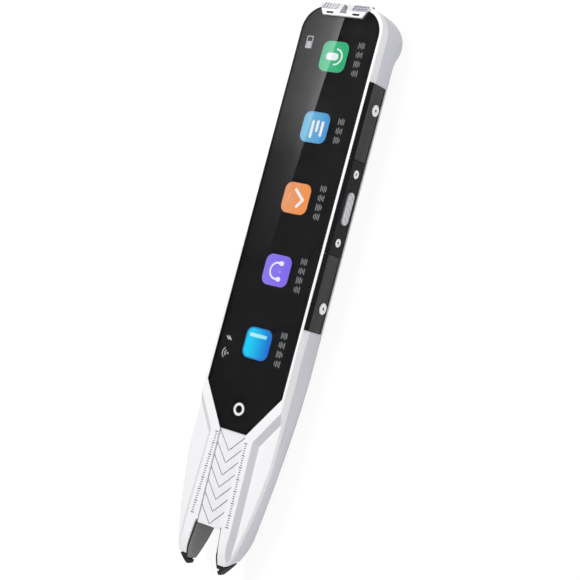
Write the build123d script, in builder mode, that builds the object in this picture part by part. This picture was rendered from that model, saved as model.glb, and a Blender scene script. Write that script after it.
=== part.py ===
from build123d import *
import os

# Scanning pen lying on its back with the screen up, in millimetres.
# X runs across the pen, +X to the side with the power button.
# Y runs along the pen, +Y to the end with the microphones.
# Z is up through the screen. The origin is on the flat rear cover, half way along the barrel.

# Overall form
barrel_length = 119.5
nose_length = 55.6
prong_length = 13.6
side_half_width = 15.8
front_inset = 0.6
body_thickness = 10.2
bump_height = 2.0
chamfer_depth = 2.6
top_corner_radius = 8.4
rear_edge_radius = 1.2
case_wall = 1.5

# Half width and run from the shoulder of the nose's outline, as shares of width and nose length:
# bend, waist, hip, toe and tip, seen from the front and from the rear.
front_nose_shares = [(1.0, 0.362), (0.868, 0.625), (0.737, 0.806), (0.612, 0.906), (0.421, 0.991)]
rear_nose_shares = [(1.0, -0.326), (0.905, 0.217), (0.69, 0.77), (0.589, 0.875), (0.4, 0.978)]
rear_bevel_shares = [(1.0, -0.326), (0.865, 0.217), (0.63, 0.77), (0.53, 0.875), (0.38, 0.978)]
nose_bevel_height = 1.0

# Side view of the nose end and of the bump
front_fall_length = 10.2
rear_rise_length = 12.4
tip_brow_height = 6.9
tip_middle_height = 5.7
tip_heel_height = 4.6
tip_brow_run = 0.3
tip_heel_run = 1.2
rise_middle_share = 0.48
rise_height_share = 0.46
bump_length = 9.2
bump_round = 8.0
bump_rise = 7.0
ramp_length = 6.5

# Clearances and small common sizes
overrun = 1.0
seat_gap = 0.05
slide_gap = 0.2
bond_gap = 0.15

# Glass and display
glass_side_rim = 1.0
glass_rim = 1.2
glass_corner_radius = 7.5
glass_thickness = 0.8
glass_taper_length = 13.0
glass_end_half_width = 5.0
glass_notch_margin = 0.7
ledge_thickness = 0.9
display_side = 2.0
display_thickness = 1.5
display_head = 6.0
display_tail = 5.5
display_gap = 0.2
tray_thickness = 0.4

# Raised plateau, facets and chevron channel on the front of the nose
facet_drop = 1.4
facet_bevel_width = 1.8
plateau_top_run = 3.7
plateau_neck_run = 14.4
rib_width = 2.9
rib_end_width = 4.0
channel_depth = 1.4
chevron_recess = 0.5
chevron_gap = 0.15
channel_taper = 0.5
chevron_count = 7
chevron_pitch = 3.74
chevron_rise = 5.5
chevron_first_run = 5.75
groove_width = 0.4
groove_depth = 0.3

# Scanning bay between the prongs
prong_tip_inset = 0.42
bay_taper = 1.4
liner_thickness = 0.6
liner_back_thickness = 0.8
liner_setback = 0.5
cheek_short = 2.3
window_side = 0.5
window_height = 4.6
window_thickness = 0.8
window_border = 0.4
end_wall_thickness = 2.3
optic_height = 6.6

# Rubber feet at the tips
foot_seam_front = 2.3
foot_seam_rear = 6.0
foot_travel = 0.5
neck_half_width = 0.7
neck_half_height = 1.5
neck_reach = 8.1
neck_root = 3.2
neck_gap = 0.2
rod_offset = 1.3
rod_height = 7.4
rod_radius = 0.5
rod_back = 8.3
rod_sink = 2.5
collar_radius = 1.3
collar_length = 0.9
collar_gap = 0.1
peg_length = 4.0

# Rails, key panel and power button on the right side
rail_head_drop = 22.3
rail_tail_run = 21.4
panel_half_length = 14.4
rail_seat_depth = 0.65
rail_proud = 0.3
rail_top_setback = 0.8
rail_rear_setback = 0.4
rail_top_drop = 0.1
rail_bevel_drop = 1.3
rail_flat_drop = 7.3
rail_rear_drop = 8.7
rail_joint_gap = 0.12
button_length = 10.1
button_width = 3.3
button_proud = 0.6
button_height = 7.65
button_travel = 0.4
button_dome = 0.35
flange_length = 12.6
flange_width = 4.2
flange_thickness = 0.8
flange_gap = 0.15
grip_count = 5
grip_pitch = 1.8
grip_width = 0.35
grip_depth = 0.15
grip_length = 3.0
grip_angle = 35
slab_ring_bevel = 0.15

# Ring washers and screws on the rails
slab_ring_inset = 7.45
slab_ring_height = 6.8
slab_ring_radius = 1.75
slab_ring_proud = 0.4
panel_ring_y = 10.5
panel_ring_height = 7.9
panel_ring_radius = 1.3
panel_ring_proud = 0.3
ring_bore_radius = 0.45
rail_screw_radius = 0.4
rail_screw_length = 2.6
rail_screw_sink = 0.15
rail_boss_radius = 1.5
rail_boss_length = 1.4

# Microphone bar on the top edge
bar_half_width = 9.1
bar_lip_half_width = 7.2
bar_lip_length = 3.95
bar_flare_length = 0.55
bar_proud = 0.8
bar_bevel = 0.25
bar_flat_length = 1.5
bar_overhang = 0.25
bar_slope_drop = 0.7
bar_skirt = 1.8
slot_x = 4.8
slot_length = 2.6
slot_width = 0.6
slot_y_drop = 3.1
bar_foot_length = 2.4
microphone_length = 3.0
microphone_width = 1.9
microphone_height = 0.9
pad_inner_x = 2.9
pad_outer_x = 8.0
pad_margin = 0.25
pad_base = 0.12
pad_rib_count = 6
pad_rib_height = 0.22
pad_rib_width = 0.4
wedge_half_width = 1.3
wedge_start = 3.0
wedge_end = 0.3
wedge_proud = 0.18

# Rear cover
cover_side_drop = 3.8
cover_taper = 1.9
cover_top_drop = 21.25
cover_tail_run = 30.0
cover_sink = 0.4
cover_bevel = 1.1
cover_corner_radius = 4.0

# Main board and what it carries
board_thickness = 0.8
board_height = 7.9
board_side_gap = 2.4
board_top_drop = 7.95
board_tongue_half_width = 6.4
board_tongue_drop = 2.35
board_tail_inset = 2.75
chip_size = 10.0
chip_thickness = 0.9
can_side_gap = 2.3
can_length = 24.0
can_run = 9.75
can_depth = 1.7
can_wall = 0.25
memory_length = 8.0
memory_width = 6.0
memory_drop = 20.25
connector_length = 2.6
connector_margin = 0.6
connector_height = 0.9
connector_inset = 4.4
battery_side_gap = 2.9
battery_head_gap = 5.5
battery_tail_gap = 5.0
battery_thickness = 3.6
battery_radius = 0.8
tape_thickness = 0.2
tape_inset = 1.5
board_screw_inset = 1.6
board_screw_drop = 22.25
board_screw_run = 33.25
board_boss_radius = 1.5
board_screw_radius = 0.6
board_screw_head_radius = 1.25
board_screw_head = 0.45
board_screw_length = 3.0

# Charging socket in the top end
usb_half_width = 4.47
usb_height = 3.2
usb_length = 7.3
usb_wall = 0.3
usb_tongue_half_width = 3.35
usb_tongue_thickness = 0.7
usb_tongue_length = 5.0
usb_mouth_gap = 0.25
usb_recess = 1.85

# Loudspeaker in the bump
speaker_drop = 8.35
speaker_half_width = 6.8
speaker_length = 5.2
speaker_thickness = 2.2
mesh_lift = 0.35
mesh_thickness = 0.15
mesh_border = 0.7
gasket_thickness = 0.35
gasket_wall = 0.8
speaker_slot_count = 7
speaker_slot_pitch = 1.7
speaker_slot_length = 3.4
speaker_slot_width = 0.8

# Camera and lamps in the nose
sensor_board_back = 21.2
sensor_board_thickness = 0.8
sensor_board_half_width = 5.4
sensor_board_half_height = 2.85
sensor_size = 4.4
sensor_thickness = 0.8
holder_half_width = 3.4
holder_half_height = 2.7
holder_length = 3.4
barrel_radius = 2.6
barrel_bore_radius = 1.9
barrel_front_back = 10.0
lens_thickness = 1.0
lens_inset = 0.5
lamp_board_back = 5.0
lamp_board_thickness = 0.8
lamp_board_half_width = 5.2
lamp_board_half_height = 2.85
lamp_hole_radius = 2.1
lamp_x = 3.2
lamp_size = 1.5
lamp_thickness = 0.8
foot_board_half_width = 2.2
foot_board_half_height = 2.85
foot_switch_size = 3.2
switch_depth = 1.7
plunger_radius = 0.6
plunger_length = 0.55
button_switch_length = 3.6
button_switch_height = 1.8
button_switch_depth = 2.4
button_plunger_drop = 0.9

# Case screws
top_screw_x = 9.0
top_screw_drop = 4.9
nose_screw_clearance = 1.3
nose_screw_inset = 7.2
nose_screw_run = 5.0
nose_screw_back = 17.0
case_screw_radius = 0.8
case_screw_head_radius = 1.4
case_screw_head = 0.8
case_screw_seat = 3.6
case_screw_hole_gap = 0.1
case_tube_radius = 1.9
case_tube_top = 5.2
case_boss_gap = 0.1
head_pocket_gap = 0.15
screw_tip_height = 8.6
driver_cut_width = 0.35
driver_cut_depth = 0.35

# Ribbons and antenna
ribbon_thickness = 0.15
ribbon_drop = 0.15
display_ribbon_x = 4.5
display_ribbon_half_width = 3.5
display_ribbon_reach = 1.0
camera_ribbon_x = -3.9
camera_ribbon_half_width = 2.5
camera_ribbon_drop = 0.45
antenna_thickness = 0.15
antenna_length = 26.0
antenna_drop = 35.75
antenna_low = 4.4
antenna_high = 9.0

# Heights and stations that follow from the sizes above
z_rear = bump_height
z_front = z_rear + body_thickness
z_split = z_front - chamfer_depth
z_floor = z_rear + case_wall
z_glass = z_front - glass_thickness
z_ledge = z_glass - ledge_thickness
z_display = z_glass - bond_gap
z_tray = z_display - display_thickness
z_board = board_height
z_cover_top = z_rear + cover_sink
foot_gap = foot_travel + seat_gap
switch_gap = button_travel + seat_gap
front_half_width = side_half_width - front_inset
inner_half_width = side_half_width - case_wall
glass_half_width = front_half_width - glass_side_rim
glass_notch_half_width = glass_half_width - glass_corner_radius - glass_notch_margin
display_half_width = glass_half_width - display_side
cover_half_width = side_half_width - cover_side_drop
cover_end_half_width = cover_half_width - cover_taper
rail_face_x = side_half_width + rail_proud
rail_seat_x = side_half_width - rail_seat_depth
rail_top_x = rail_face_x - rail_top_setback
rail_rear_x = rail_face_x - rail_rear_setback
bay_mouth_half_width = side_half_width * rear_nose_shares[-1][0] - prong_tip_inset
bay_half_width = bay_mouth_half_width - bay_taper
channel_end_half_width = bay_half_width
channel_half_width = channel_end_half_width + channel_taper
plateau_half_width = channel_half_width + rib_width
plateau_end_half_width = channel_end_half_width + rib_end_width
window_half_width = bay_half_width - window_side
rod_x = bay_mouth_half_width + rod_offset
board_half_width = inner_half_width - board_side_gap
board_screw_x = board_half_width - board_screw_inset
can_half_width = board_screw_x - can_side_gap
battery_half_width = board_half_width - battery_side_gap
ribbon_edge_x = camera_ribbon_half_width - camera_ribbon_x
nose_screw_xs = (
    ribbon_edge_x + case_tube_radius + nose_screw_clearance,
    side_half_width - nose_screw_inset,
)
top_y = barrel_length / 2
shoulder_y = -barrel_length / 2
tip_y = shoulder_y - nose_length
bay_y = tip_y + prong_length
glass_top_y = top_y - glass_rim
glass_end_y = shoulder_y - glass_taper_length
side_corner_radius = top_corner_radius + front_inset
bump_foot_y = top_y - bump_length
rail_head_y = top_y - rail_head_drop
rail_tail_y = shoulder_y + rail_tail_run
rail_middle_y = (rail_head_y + rail_tail_y) / 2
rail_half_length = (rail_head_y - rail_tail_y) / 2
slab_ring_y = rail_half_length - slab_ring_inset
inner_top_y = top_y - case_wall
cavity_end_y = bay_y + end_wall_thickness + liner_back_thickness
liner_back_y = bay_y + liner_back_thickness
display_top_y = glass_top_y - display_head
display_end_y = shoulder_y + display_tail
board_top_y = top_y - board_top_drop
board_tongue_y = top_y - board_tongue_drop
board_tail_y = shoulder_y + board_tail_inset
board_screw_ys = (top_y - board_screw_drop, shoulder_y + board_screw_run)
can_end_y = shoulder_y + can_run
can_y = can_end_y + can_length / 2
memory_y = top_y - memory_drop
connector_y = board_tail_y + connector_inset
battery_top_y = memory_y - memory_width / 2 - battery_head_gap
battery_end_y = can_end_y + can_length + battery_tail_gap
battery_y = (battery_top_y + battery_end_y) / 2
battery_length = battery_top_y - battery_end_y
antenna_y = top_y - antenna_drop
cover_top_y = top_y - cover_top_drop
big = nose_length + barrel_length

os.makedirs("parts", exist_ok=True)


# Outline of the pen seen from the front at one height, from the top end down to the tips
def plan_outline(height, half_width, corner, nose_shares):
    points = [(half_width * width, shoulder_y - nose_length * run) for width, run in nose_shares]
    bend, waist, hip, toe, tip = points
    with BuildSketch(Plane.XY.offset(height)) as outline:
        with BuildLine():
            Line((0, top_y), (half_width - corner, top_y))
            CenterArc((half_width - corner, top_y - corner), corner, 0, 90)
            Line((half_width, top_y - corner), bend)
            ThreePointArc(bend, waist, hip)
            ThreePointArc(hip, toe, tip)
            Line(tip, (0, tip_y))
            mirror(about=Plane.YZ)
        make_face()
    return outline.sketch


# Solid with the pen's side view as its section: rounded tips, flat back, ramp and bump.
# An inset makes the room inside a wall of that thickness.
def side_form(inset):
    fall = (tip_y + front_fall_length, z_front)
    brow = (tip_y + tip_brow_run, z_rear + tip_brow_height)
    snout = (tip_y, z_rear + tip_middle_height)
    heel = (tip_y + tip_heel_run, z_rear + tip_heel_height)
    rise_middle = (tip_y + rear_rise_length * rise_middle_share, z_rear + tip_heel_height * rise_height_share)
    rise = (tip_y + rear_rise_length, z_rear)
    ramp_start = (bump_foot_y - ramp_length, z_rear)
    ramp_middle = (bump_foot_y - ramp_length / 2, z_rear - bump_height / 2)
    ramp_end = (bump_foot_y, z_rear - bump_height)
    bump_start = (top_y - bump_round, z_rear - bump_height)
    bump_end = (top_y, z_rear - bump_height + bump_rise)
    with BuildPart() as solid:
        with BuildSketch(Plane.YZ):
            with BuildLine():
                Line((top_y, z_front), fall)
                TangentArc(fall, brow, tangent=(-1, 0))
                ThreePointArc(brow, snout, heel)
                ThreePointArc(heel, rise_middle, rise)
                Line(rise, ramp_start)
                lower_ramp = TangentArc(ramp_start, ramp_middle, tangent=(1, 0))
                TangentArc(ramp_middle, ramp_end, tangent=lower_ramp % 1)
                Line(ramp_end, bump_start)
                TangentArc(bump_start, bump_end, tangent=(1, 0))
                Line(bump_end, (top_y, z_front))
            make_face()
            if inset:
                offset(amount=-inset, kind=Kind.INTERSECTION, mode=Mode.REPLACE)
        extrude(amount=side_half_width + overrun, both=True)
    return solid.part


# Straight-walled back with rounded rear edges along the barrel and the ramp
with BuildPart() as rounded_back:
    with BuildSketch():
        with BuildLine():
            corner_centre = (side_half_width - side_corner_radius, top_y - side_corner_radius)
            Line((0, top_y), (side_half_width - side_corner_radius, top_y))
            CenterArc(corner_centre, side_corner_radius, 0, 90)
            Line((side_half_width, top_y - side_corner_radius), (side_half_width, tip_y - overrun))
            Line((side_half_width, tip_y - overrun), (0, tip_y - overrun))
            mirror(about=Plane.YZ)
        make_face()
    extrude(amount=z_split)
    add(side_form(0), mode=Mode.INTERSECT)
    rear_edges = [
        edge
        for edge in rounded_back.edges()
        if edge.bounding_box().max.Z < z_split - overrun / 2
        and abs(edge.center().X) > side_half_width - overrun
        and (edge.length > nose_length or edge.center().Y > 0)
    ]
    fillet(rear_edges, rear_edge_radius)

# Whole outer form above and below the split line
with BuildPart() as upper_form:
    add(plan_outline(z_front, front_half_width, top_corner_radius, front_nose_shares))
    add(plan_outline(z_split, side_half_width, side_corner_radius, front_nose_shares))
    loft(ruled=True)
    add(side_form(0), mode=Mode.INTERSECT)

with BuildPart() as lower_form:
    add(plan_outline(z_split, side_half_width, side_corner_radius, front_nose_shares))
    add(plan_outline(z_rear + nose_bevel_height, side_half_width, side_corner_radius, rear_nose_shares))
    add(plan_outline(0, side_half_width, side_corner_radius, rear_bevel_shares))
    loft(ruled=True)
    add(rounded_back.part, mode=Mode.INTERSECT)

# Bay between the prongs: the gap itself, and the gap with the liner's thickness
def bay_gap(extra, start_y):
    with BuildPart() as gap:
        with BuildSketch(Plane.XY.offset(-overrun)):
            with BuildLine():
                slope = (bay_mouth_half_width - bay_half_width) / prong_length
                far_y = tip_y - overrun
                far_half = bay_mouth_half_width + slope * overrun + extra
                near_half = bay_half_width - slope * (start_y - bay_y) + extra
                Polyline(
                    (near_half, start_y),
                    (far_half, far_y),
                    (-far_half, far_y),
                    (-near_half, start_y),
                    close=True,
                )
            make_face()
        extrude(amount=z_front + bar_proud + overrun * 2)
    return gap.part


# Everything beyond a slanted seam near the tips, moved along the pen by a shift
def beyond_seam(shift):
    with BuildPart() as end:
        with BuildSketch(Plane.YZ):
            with BuildLine():
                rear_point = (tip_y + foot_seam_rear + shift, z_rear - overrun)
                front_point = (tip_y + foot_seam_front + shift, z_front + overrun)
                far_y = tip_y - overrun * 2
                Polyline(
                    rear_point,
                    front_point,
                    (far_y, z_front + overrun),
                    (far_y, z_rear - overrun),
                    close=True,
                )
            make_face()
        extrude(amount=side_half_width + overrun, both=True)
    return end.part


# Recess for the side rails, a bite out of the right side of both case halves
with BuildPart() as rail_seat:
    with BuildSketch(Plane.YZ.offset(rail_seat_x)):
        with Locations((rail_middle_y, z_front - rail_rear_drop / 2 + overrun / 2)):
            Rectangle(rail_half_length * 2, rail_rear_drop + overrun)
    extrude(amount=side_half_width)

# Centres of the ring washers on the rail, and of the screws that hold the case together
slab_spots = [(rail_middle_y + side * slab_ring_y, slab_ring_height) for side in (-1, 1)]
panel_spots = [(rail_middle_y + side * panel_ring_y, panel_ring_height) for side in (-1, 1)]
case_screw_centres = [(x, top_y - top_screw_drop) for x in (-top_screw_x, top_screw_x)]
nose_screw_ys = (shoulder_y - nose_screw_run, bay_y + nose_screw_back)
nose_screw_centres = [(side * x, y) for x, y in zip(nose_screw_xs, nose_screw_ys) for side in (-1, 1)]
all_screw_centres = case_screw_centres + nose_screw_centres
board_screw_centres = [(side * board_screw_x, y) for side in (-1, 1) for y in board_screw_ys]

# Outline of the cover glass, with an allowance for the pocket round it
def glass_outline(allowance):
    half = glass_half_width + allowance
    end_half = glass_end_half_width + allowance
    with BuildSketch() as outline:
        with BuildLine():
            radius = glass_corner_radius + allowance
            high = glass_top_y + allowance
            Line((0, high), (half - radius, high))
            CenterArc((half - radius, high - radius), radius, 0, 90)
            Line((half, high - radius), (half, shoulder_y))
            Line((half, shoulder_y), (end_half, glass_end_y - allowance))
            Line((end_half, glass_end_y - allowance), (0, glass_end_y - allowance))
            mirror(about=Plane.YZ)
        make_face()
    return outline.sketch


# Facets beside the plateau, cut down with a sloped wall
def facet_cut(side):
    lane = [
        (side * (side_half_width + overrun), shoulder_y - plateau_top_run + overrun),
        (side * front_half_width, shoulder_y - plateau_top_run),
        (side * plateau_half_width, shoulder_y - plateau_neck_run),
        (side * plateau_end_half_width, bay_y),
        (side * plateau_half_width, tip_y - overrun),
        (side * (side_half_width + overrun * 4), tip_y - overrun),
        (side * (side_half_width + overrun * 4), shoulder_y - plateau_top_run + overrun),
    ]
    brow_y = shoulder_y - plateau_top_run - facet_bevel_width * 2
    neck_y = shoulder_y - plateau_neck_run - facet_bevel_width / 2
    floor = [
        (side * (side_half_width + overrun), brow_y + overrun),
        (side * front_half_width, brow_y),
        (side * (plateau_half_width + facet_bevel_width), neck_y),
        (side * (plateau_end_half_width + facet_bevel_width), bay_y),
        (side * (plateau_half_width + facet_bevel_width), tip_y - overrun),
        (side * (side_half_width + overrun * 4), tip_y - overrun),
        (side * (side_half_width + overrun * 4), brow_y + overrun),
    ]
    with BuildPart() as cut:
        for height, points in ((z_front + seat_gap, lane), (z_front - facet_drop, floor)):
            with BuildSketch(Plane.XY.offset(height)):
                with BuildLine():
                    Polyline(*points, close=True)
                make_face()
        loft(ruled=True)
    return cut.part


# Profile of the microphone bar in side view, wrapped over the top edge
def bar_profile():
    lip_y = top_y - bar_lip_length
    nose_z = z_front + bar_proud
    slope_y = lip_y + bar_bevel + bar_flat_length
    back_y = top_y + bar_overhang
    return [
        (lip_y, z_front),
        (lip_y, nose_z - bar_bevel),
        (lip_y + bar_bevel, nose_z),
        (slope_y, nose_z),
        (back_y, z_front - bar_slope_drop),
        (back_y, z_front - bar_skirt),
        (glass_top_y + seat_gap * 2, z_front - bar_skirt),
        (glass_top_y + seat_gap * 2, z_front),
    ]


# Front frame: rim round the glass, ledge under it, plateau, facets and the channel for the chevrons
with BuildPart() as front_frame:
    add(upper_form.part)
    add(bay_gap(liner_thickness, liner_back_y), mode=Mode.SUBTRACT)
    add(beyond_seam(foot_gap), mode=Mode.SUBTRACT)
    add(rail_seat.part, mode=Mode.SUBTRACT)
    with BuildSketch(Plane.XY.offset(z_glass)):
        add(glass_outline(seat_gap))
    extrude(amount=glass_thickness + overrun, mode=Mode.SUBTRACT)
    with BuildSketch(Plane.XY.offset(z_split)) as screen_opening:
        with Locations((0, (display_top_y + display_end_y) / 2)):
            Rectangle(
                (display_half_width + display_gap) * 2,
                display_top_y - display_end_y + display_gap * 2,
            )
    extrude(amount=z_glass - z_split + overrun, mode=Mode.SUBTRACT)
    with BuildSketch(Plane.XY.offset(z_split)) as under_ledge:
        with Locations((0, (inner_top_y + shoulder_y - plateau_top_run) / 2)):
            Rectangle(
                (glass_half_width + seat_gap) * 2,
                inner_top_y - shoulder_y + plateau_top_run,
            )
        fillet(under_ledge.vertices().group_by(Axis.Y)[-1], glass_corner_radius)
    extrude(amount=z_ledge - z_split, mode=Mode.SUBTRACT)
    for side in (-1, 1):
        add(facet_cut(side), mode=Mode.SUBTRACT)
    with BuildSketch(Plane.XY.offset(z_front - channel_depth)):
        with BuildLine():
            Polyline(
                (channel_half_width, glass_end_y + overrun),
                (channel_half_width, glass_end_y),
                (channel_end_half_width, bay_y),
                (channel_end_half_width, liner_back_y - prong_length),
                (-channel_end_half_width, liner_back_y - prong_length),
                (-channel_end_half_width, bay_y),
                (-channel_half_width, glass_end_y),
                (-channel_half_width, glass_end_y + overrun),
                close=True,
            )
        make_face()
    extrude(amount=channel_depth + overrun, mode=Mode.SUBTRACT)
    with BuildSketch(Plane.XY.offset(z_front - bar_skirt)):
        with Locations((0, top_y)):
            Rectangle(bar_half_width * 2, (top_y - glass_top_y) * 2 - seat_gap * 2)
    extrude(amount=bar_skirt + overrun, mode=Mode.SUBTRACT)
    with BuildSketch(Plane.XY.offset(z_ledge - overrun)):
        with Locations((-slot_x, top_y - slot_y_drop), (slot_x, top_y - slot_y_drop)):
            Circle(slot_width)
    extrude(amount=ledge_thickness + overrun * 2, mode=Mode.SUBTRACT)
    with BuildSketch(Plane.XY.offset(case_tube_top + case_boss_gap)):
        with Locations(*all_screw_centres):
            Circle(case_tube_radius)
    extrude(amount=z_ledge - case_tube_top - case_boss_gap)
    with BuildSketch(Plane.XY.offset(case_tube_top)):
        with Locations(*all_screw_centres):
            Circle(case_screw_radius + case_screw_hole_gap)
    extrude(amount=screw_tip_height - case_tube_top + overrun / 2, mode=Mode.SUBTRACT)
front_frame.part.label = "front_frame"
export_step(front_frame.part, "parts/front_frame.step")

# Room inside the case
with BuildPart() as room:
    with BuildSketch():
        add(plan_outline(0, side_half_width, side_corner_radius, rear_bevel_shares))
        offset(amount=-case_wall, kind=Kind.INTERSECTION, mode=Mode.REPLACE)
        with Locations((0, cavity_end_y - big / 2)):
            Rectangle(side_half_width * 2, big, mode=Mode.SUBTRACT)
    extrude(amount=z_front)
    add(side_form(case_wall), mode=Mode.INTERSECT)


# Stadium-shaped bar on the right side, along the pen, from one X to another
def side_pill(length, width, height, start_x, end_x):
    with BuildPart() as pill:
        with BuildSketch(Plane.YZ.offset(start_x)):
            with Locations((rail_middle_y, height)):
                SlotOverall(length, width)
        extrude(amount=end_x - start_x)
    return pill.part


# Outline of the rear cover, with an allowance for its recess
def cover_outline(allowance):
    with BuildSketch() as outline:
        with BuildLine():
            low_y = shoulder_y - cover_tail_run - allowance
            high_y = cover_top_y + allowance
            half = cover_half_width + allowance
            end_half = cover_end_half_width + allowance
            Polyline(
                (half, high_y),
                (half, shoulder_y),
                (end_half, low_y),
                (-end_half, low_y),
                (-half, shoulder_y),
                (-half, high_y),
                close=True,
            )
        make_face()
        fillet(outline.vertices().group_by(Axis.Y)[0], cover_corner_radius)
        fillet(outline.vertices().group_by(Axis.Y)[-1], cover_corner_radius)
    return outline.sketch


# Tubes round the case screws, from the back of the shell up to the bosses of the frame
with BuildPart() as screw_tubes:
    with BuildSketch():
        with Locations(*all_screw_centres):
            Circle(case_tube_radius)
    extrude(amount=case_tube_top)
    add(lower_form.part, mode=Mode.INTERSECT)

# Seat under the dust mesh of the loudspeaker
speaker_y = top_y - speaker_drop
mesh_z = case_wall + mesh_lift
with BuildPart() as speaker_seat:
    with BuildSketch(Plane.XY.offset(case_wall / 2)):
        with Locations((0, speaker_y)):
            Rectangle(speaker_half_width * 2, speaker_length)
            Rectangle(
                (speaker_half_width - gasket_wall) * 2,
                speaker_length - gasket_wall * 2,
                mode=Mode.SUBTRACT,
            )
    extrude(amount=mesh_z - case_wall / 2)

# Rear shell: sides, back, bump and prongs, with its bosses, pockets and openings
with BuildPart() as rear_shell:
    add(lower_form.part)
    add(room.part, mode=Mode.SUBTRACT)
    add(screw_tubes.part)
    add(speaker_seat.part)
    add(bay_gap(liner_thickness, liner_back_y), mode=Mode.SUBTRACT)
    add(beyond_seam(foot_gap), mode=Mode.SUBTRACT)
    add(rail_seat.part, mode=Mode.SUBTRACT)
    with BuildSketch(Plane.XY.offset(z_cover_top)):
        add(cover_outline(seat_gap))
    extrude(amount=-(cover_sink + overrun), mode=Mode.SUBTRACT)
    with BuildSketch():
        with Locations(*all_screw_centres):
            Circle(case_screw_radius + case_screw_hole_gap)
    extrude(amount=case_tube_top + overrun, mode=Mode.SUBTRACT)
    with BuildSketch():
        with Locations(*all_screw_centres):
            Circle(case_screw_head_radius + head_pocket_gap)
    extrude(amount=case_screw_seat, mode=Mode.SUBTRACT)
    with BuildSketch(Plane.XY.offset(z_floor - seat_gap)):
        with Locations(*board_screw_centres):
            Circle(board_boss_radius)
            Circle(board_screw_radius, mode=Mode.SUBTRACT)
    extrude(amount=z_board - z_floor + seat_gap)
    with BuildSketch(Plane.YZ.offset(inner_half_width - rail_boss_length)):
        with Locations(*slab_spots, *panel_spots):
            Circle(rail_boss_radius)
    extrude(amount=rail_boss_length + seat_gap)
    with BuildSketch(Plane.YZ.offset(rail_face_x - rail_screw_length)):
        with Locations(*slab_spots, *panel_spots):
            Circle(rail_screw_radius)
    extrude(amount=rail_screw_length, mode=Mode.SUBTRACT)
    add(
        side_pill(
            button_length + slide_gap * 2,
            button_width + slide_gap * 2,
            button_height,
            inner_half_width - overrun,
            rail_face_x + overrun,
        ),
        mode=Mode.SUBTRACT,
    )
    with BuildSketch(Plane.XZ.offset(-cavity_end_y - overrun)):
        with Locations((0, optic_height)):
            Rectangle(window_half_width * 2, window_height)
    extrude(amount=end_wall_thickness + overrun * 2, mode=Mode.SUBTRACT)
    with BuildSketch(Plane.XZ.offset(-liner_back_y - window_thickness)):
        with Locations((0, optic_height)):
            Rectangle((window_half_width + window_border) * 2, window_height + window_border * 2)
    extrude(amount=window_thickness + overrun, mode=Mode.SUBTRACT)
    with BuildSketch(Plane.XZ.offset(-(tip_y + neck_reach + foot_gap))):
        with Locations((-rod_x, rod_height), (rod_x, rod_height)):
            Rectangle((neck_half_width + neck_gap) * 2, (neck_half_height + neck_gap) * 2)
    extrude(amount=neck_reach + foot_gap, mode=Mode.SUBTRACT)
    with BuildSketch(Plane.XZ.offset(-(cavity_end_y + overrun))):
        with Locations((-rod_x, rod_height)):
            Circle(rod_radius + slide_gap)
    extrude(amount=cavity_end_y + overrun - tip_y - neck_reach, mode=Mode.SUBTRACT)
    with BuildSketch(Plane.XZ.offset(-(tip_y + neck_reach + peg_length))):
        with Locations((rod_x, rod_height)):
            Circle(rod_radius)
    extrude(amount=peg_length, mode=Mode.SUBTRACT)
    with BuildSketch(Plane.XZ.offset(-(top_y + overrun))):
        with Locations((0, z_board - usb_height / 2)):
            SlotOverall((usb_half_width + usb_mouth_gap) * 2, usb_height + usb_mouth_gap * 2)
    extrude(amount=usb_recess + case_wall + overrun * 2, mode=Mode.SUBTRACT)
    with BuildSketch():
        with Locations((0, speaker_y)):
            with GridLocations(speaker_slot_pitch, 0, speaker_slot_count, 1):
                SlotOverall(speaker_slot_length, speaker_slot_width, rotation=90)
    extrude(amount=mesh_z, mode=Mode.SUBTRACT)
rear_shell.part.label = "rear_shell"
export_step(rear_shell.part, "parts/rear_shell.step")

# Rear cover: raised plate with bevelled edges that hides the case screws and is what the pen lies on
with BuildPart() as rear_cover:
    with BuildSketch():
        add(cover_outline(0))
    extrude(amount=z_cover_top)
    chamfer(rear_cover.faces().sort_by(Axis.Z)[0].edges(), cover_bevel)
rear_cover.part.label = "rear_cover"
export_step(rear_cover.part, "parts/rear_cover.step")

# Cover glass with a notch at the top for the foot of the microphone bar
with BuildPart() as front_glass:
    with BuildSketch(Plane.XY.offset(z_glass)):
        add(glass_outline(0))
        with Locations((0, glass_top_y)):
            Rectangle(
                (glass_notch_half_width + seat_gap) * 2,
                (bar_foot_length + seat_gap) * 2,
                mode=Mode.SUBTRACT,
            )
    extrude(amount=glass_thickness)
front_glass.part.label = "front_glass"
export_step(front_glass.part, "parts/front_glass.step")

# Display panel behind the glass, and the steel tray at its back
display_centre_y = (display_top_y + display_end_y) / 2
display_length = display_top_y - display_end_y
with BuildPart() as display_panel:
    with BuildSketch(Plane.XY.offset(z_tray)):
        with Locations((0, display_centre_y)):
            Rectangle(display_half_width * 2, display_length)
    extrude(amount=display_thickness)
display_panel.part.label = "display_panel"
export_step(display_panel.part, "parts/display_panel.step")

with BuildPart() as display_tray:
    with BuildSketch(Plane.XY.offset(z_tray - tray_thickness)):
        with Locations((0, display_centre_y)):
            Rectangle(display_half_width * 2, display_length)
    extrude(amount=tray_thickness)
display_tray.part.label = "display_tray"
export_step(display_tray.part, "parts/display_tray.step")

# Microphone bar: a bracket over the top edge, with two sound slots and a foot in the glass notch
with BuildPart() as bar_section:
    with BuildSketch(Plane.YZ):
        with BuildLine():
            Polyline(*bar_profile(), close=True)
        make_face()
    extrude(amount=bar_half_width, both=True)

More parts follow.
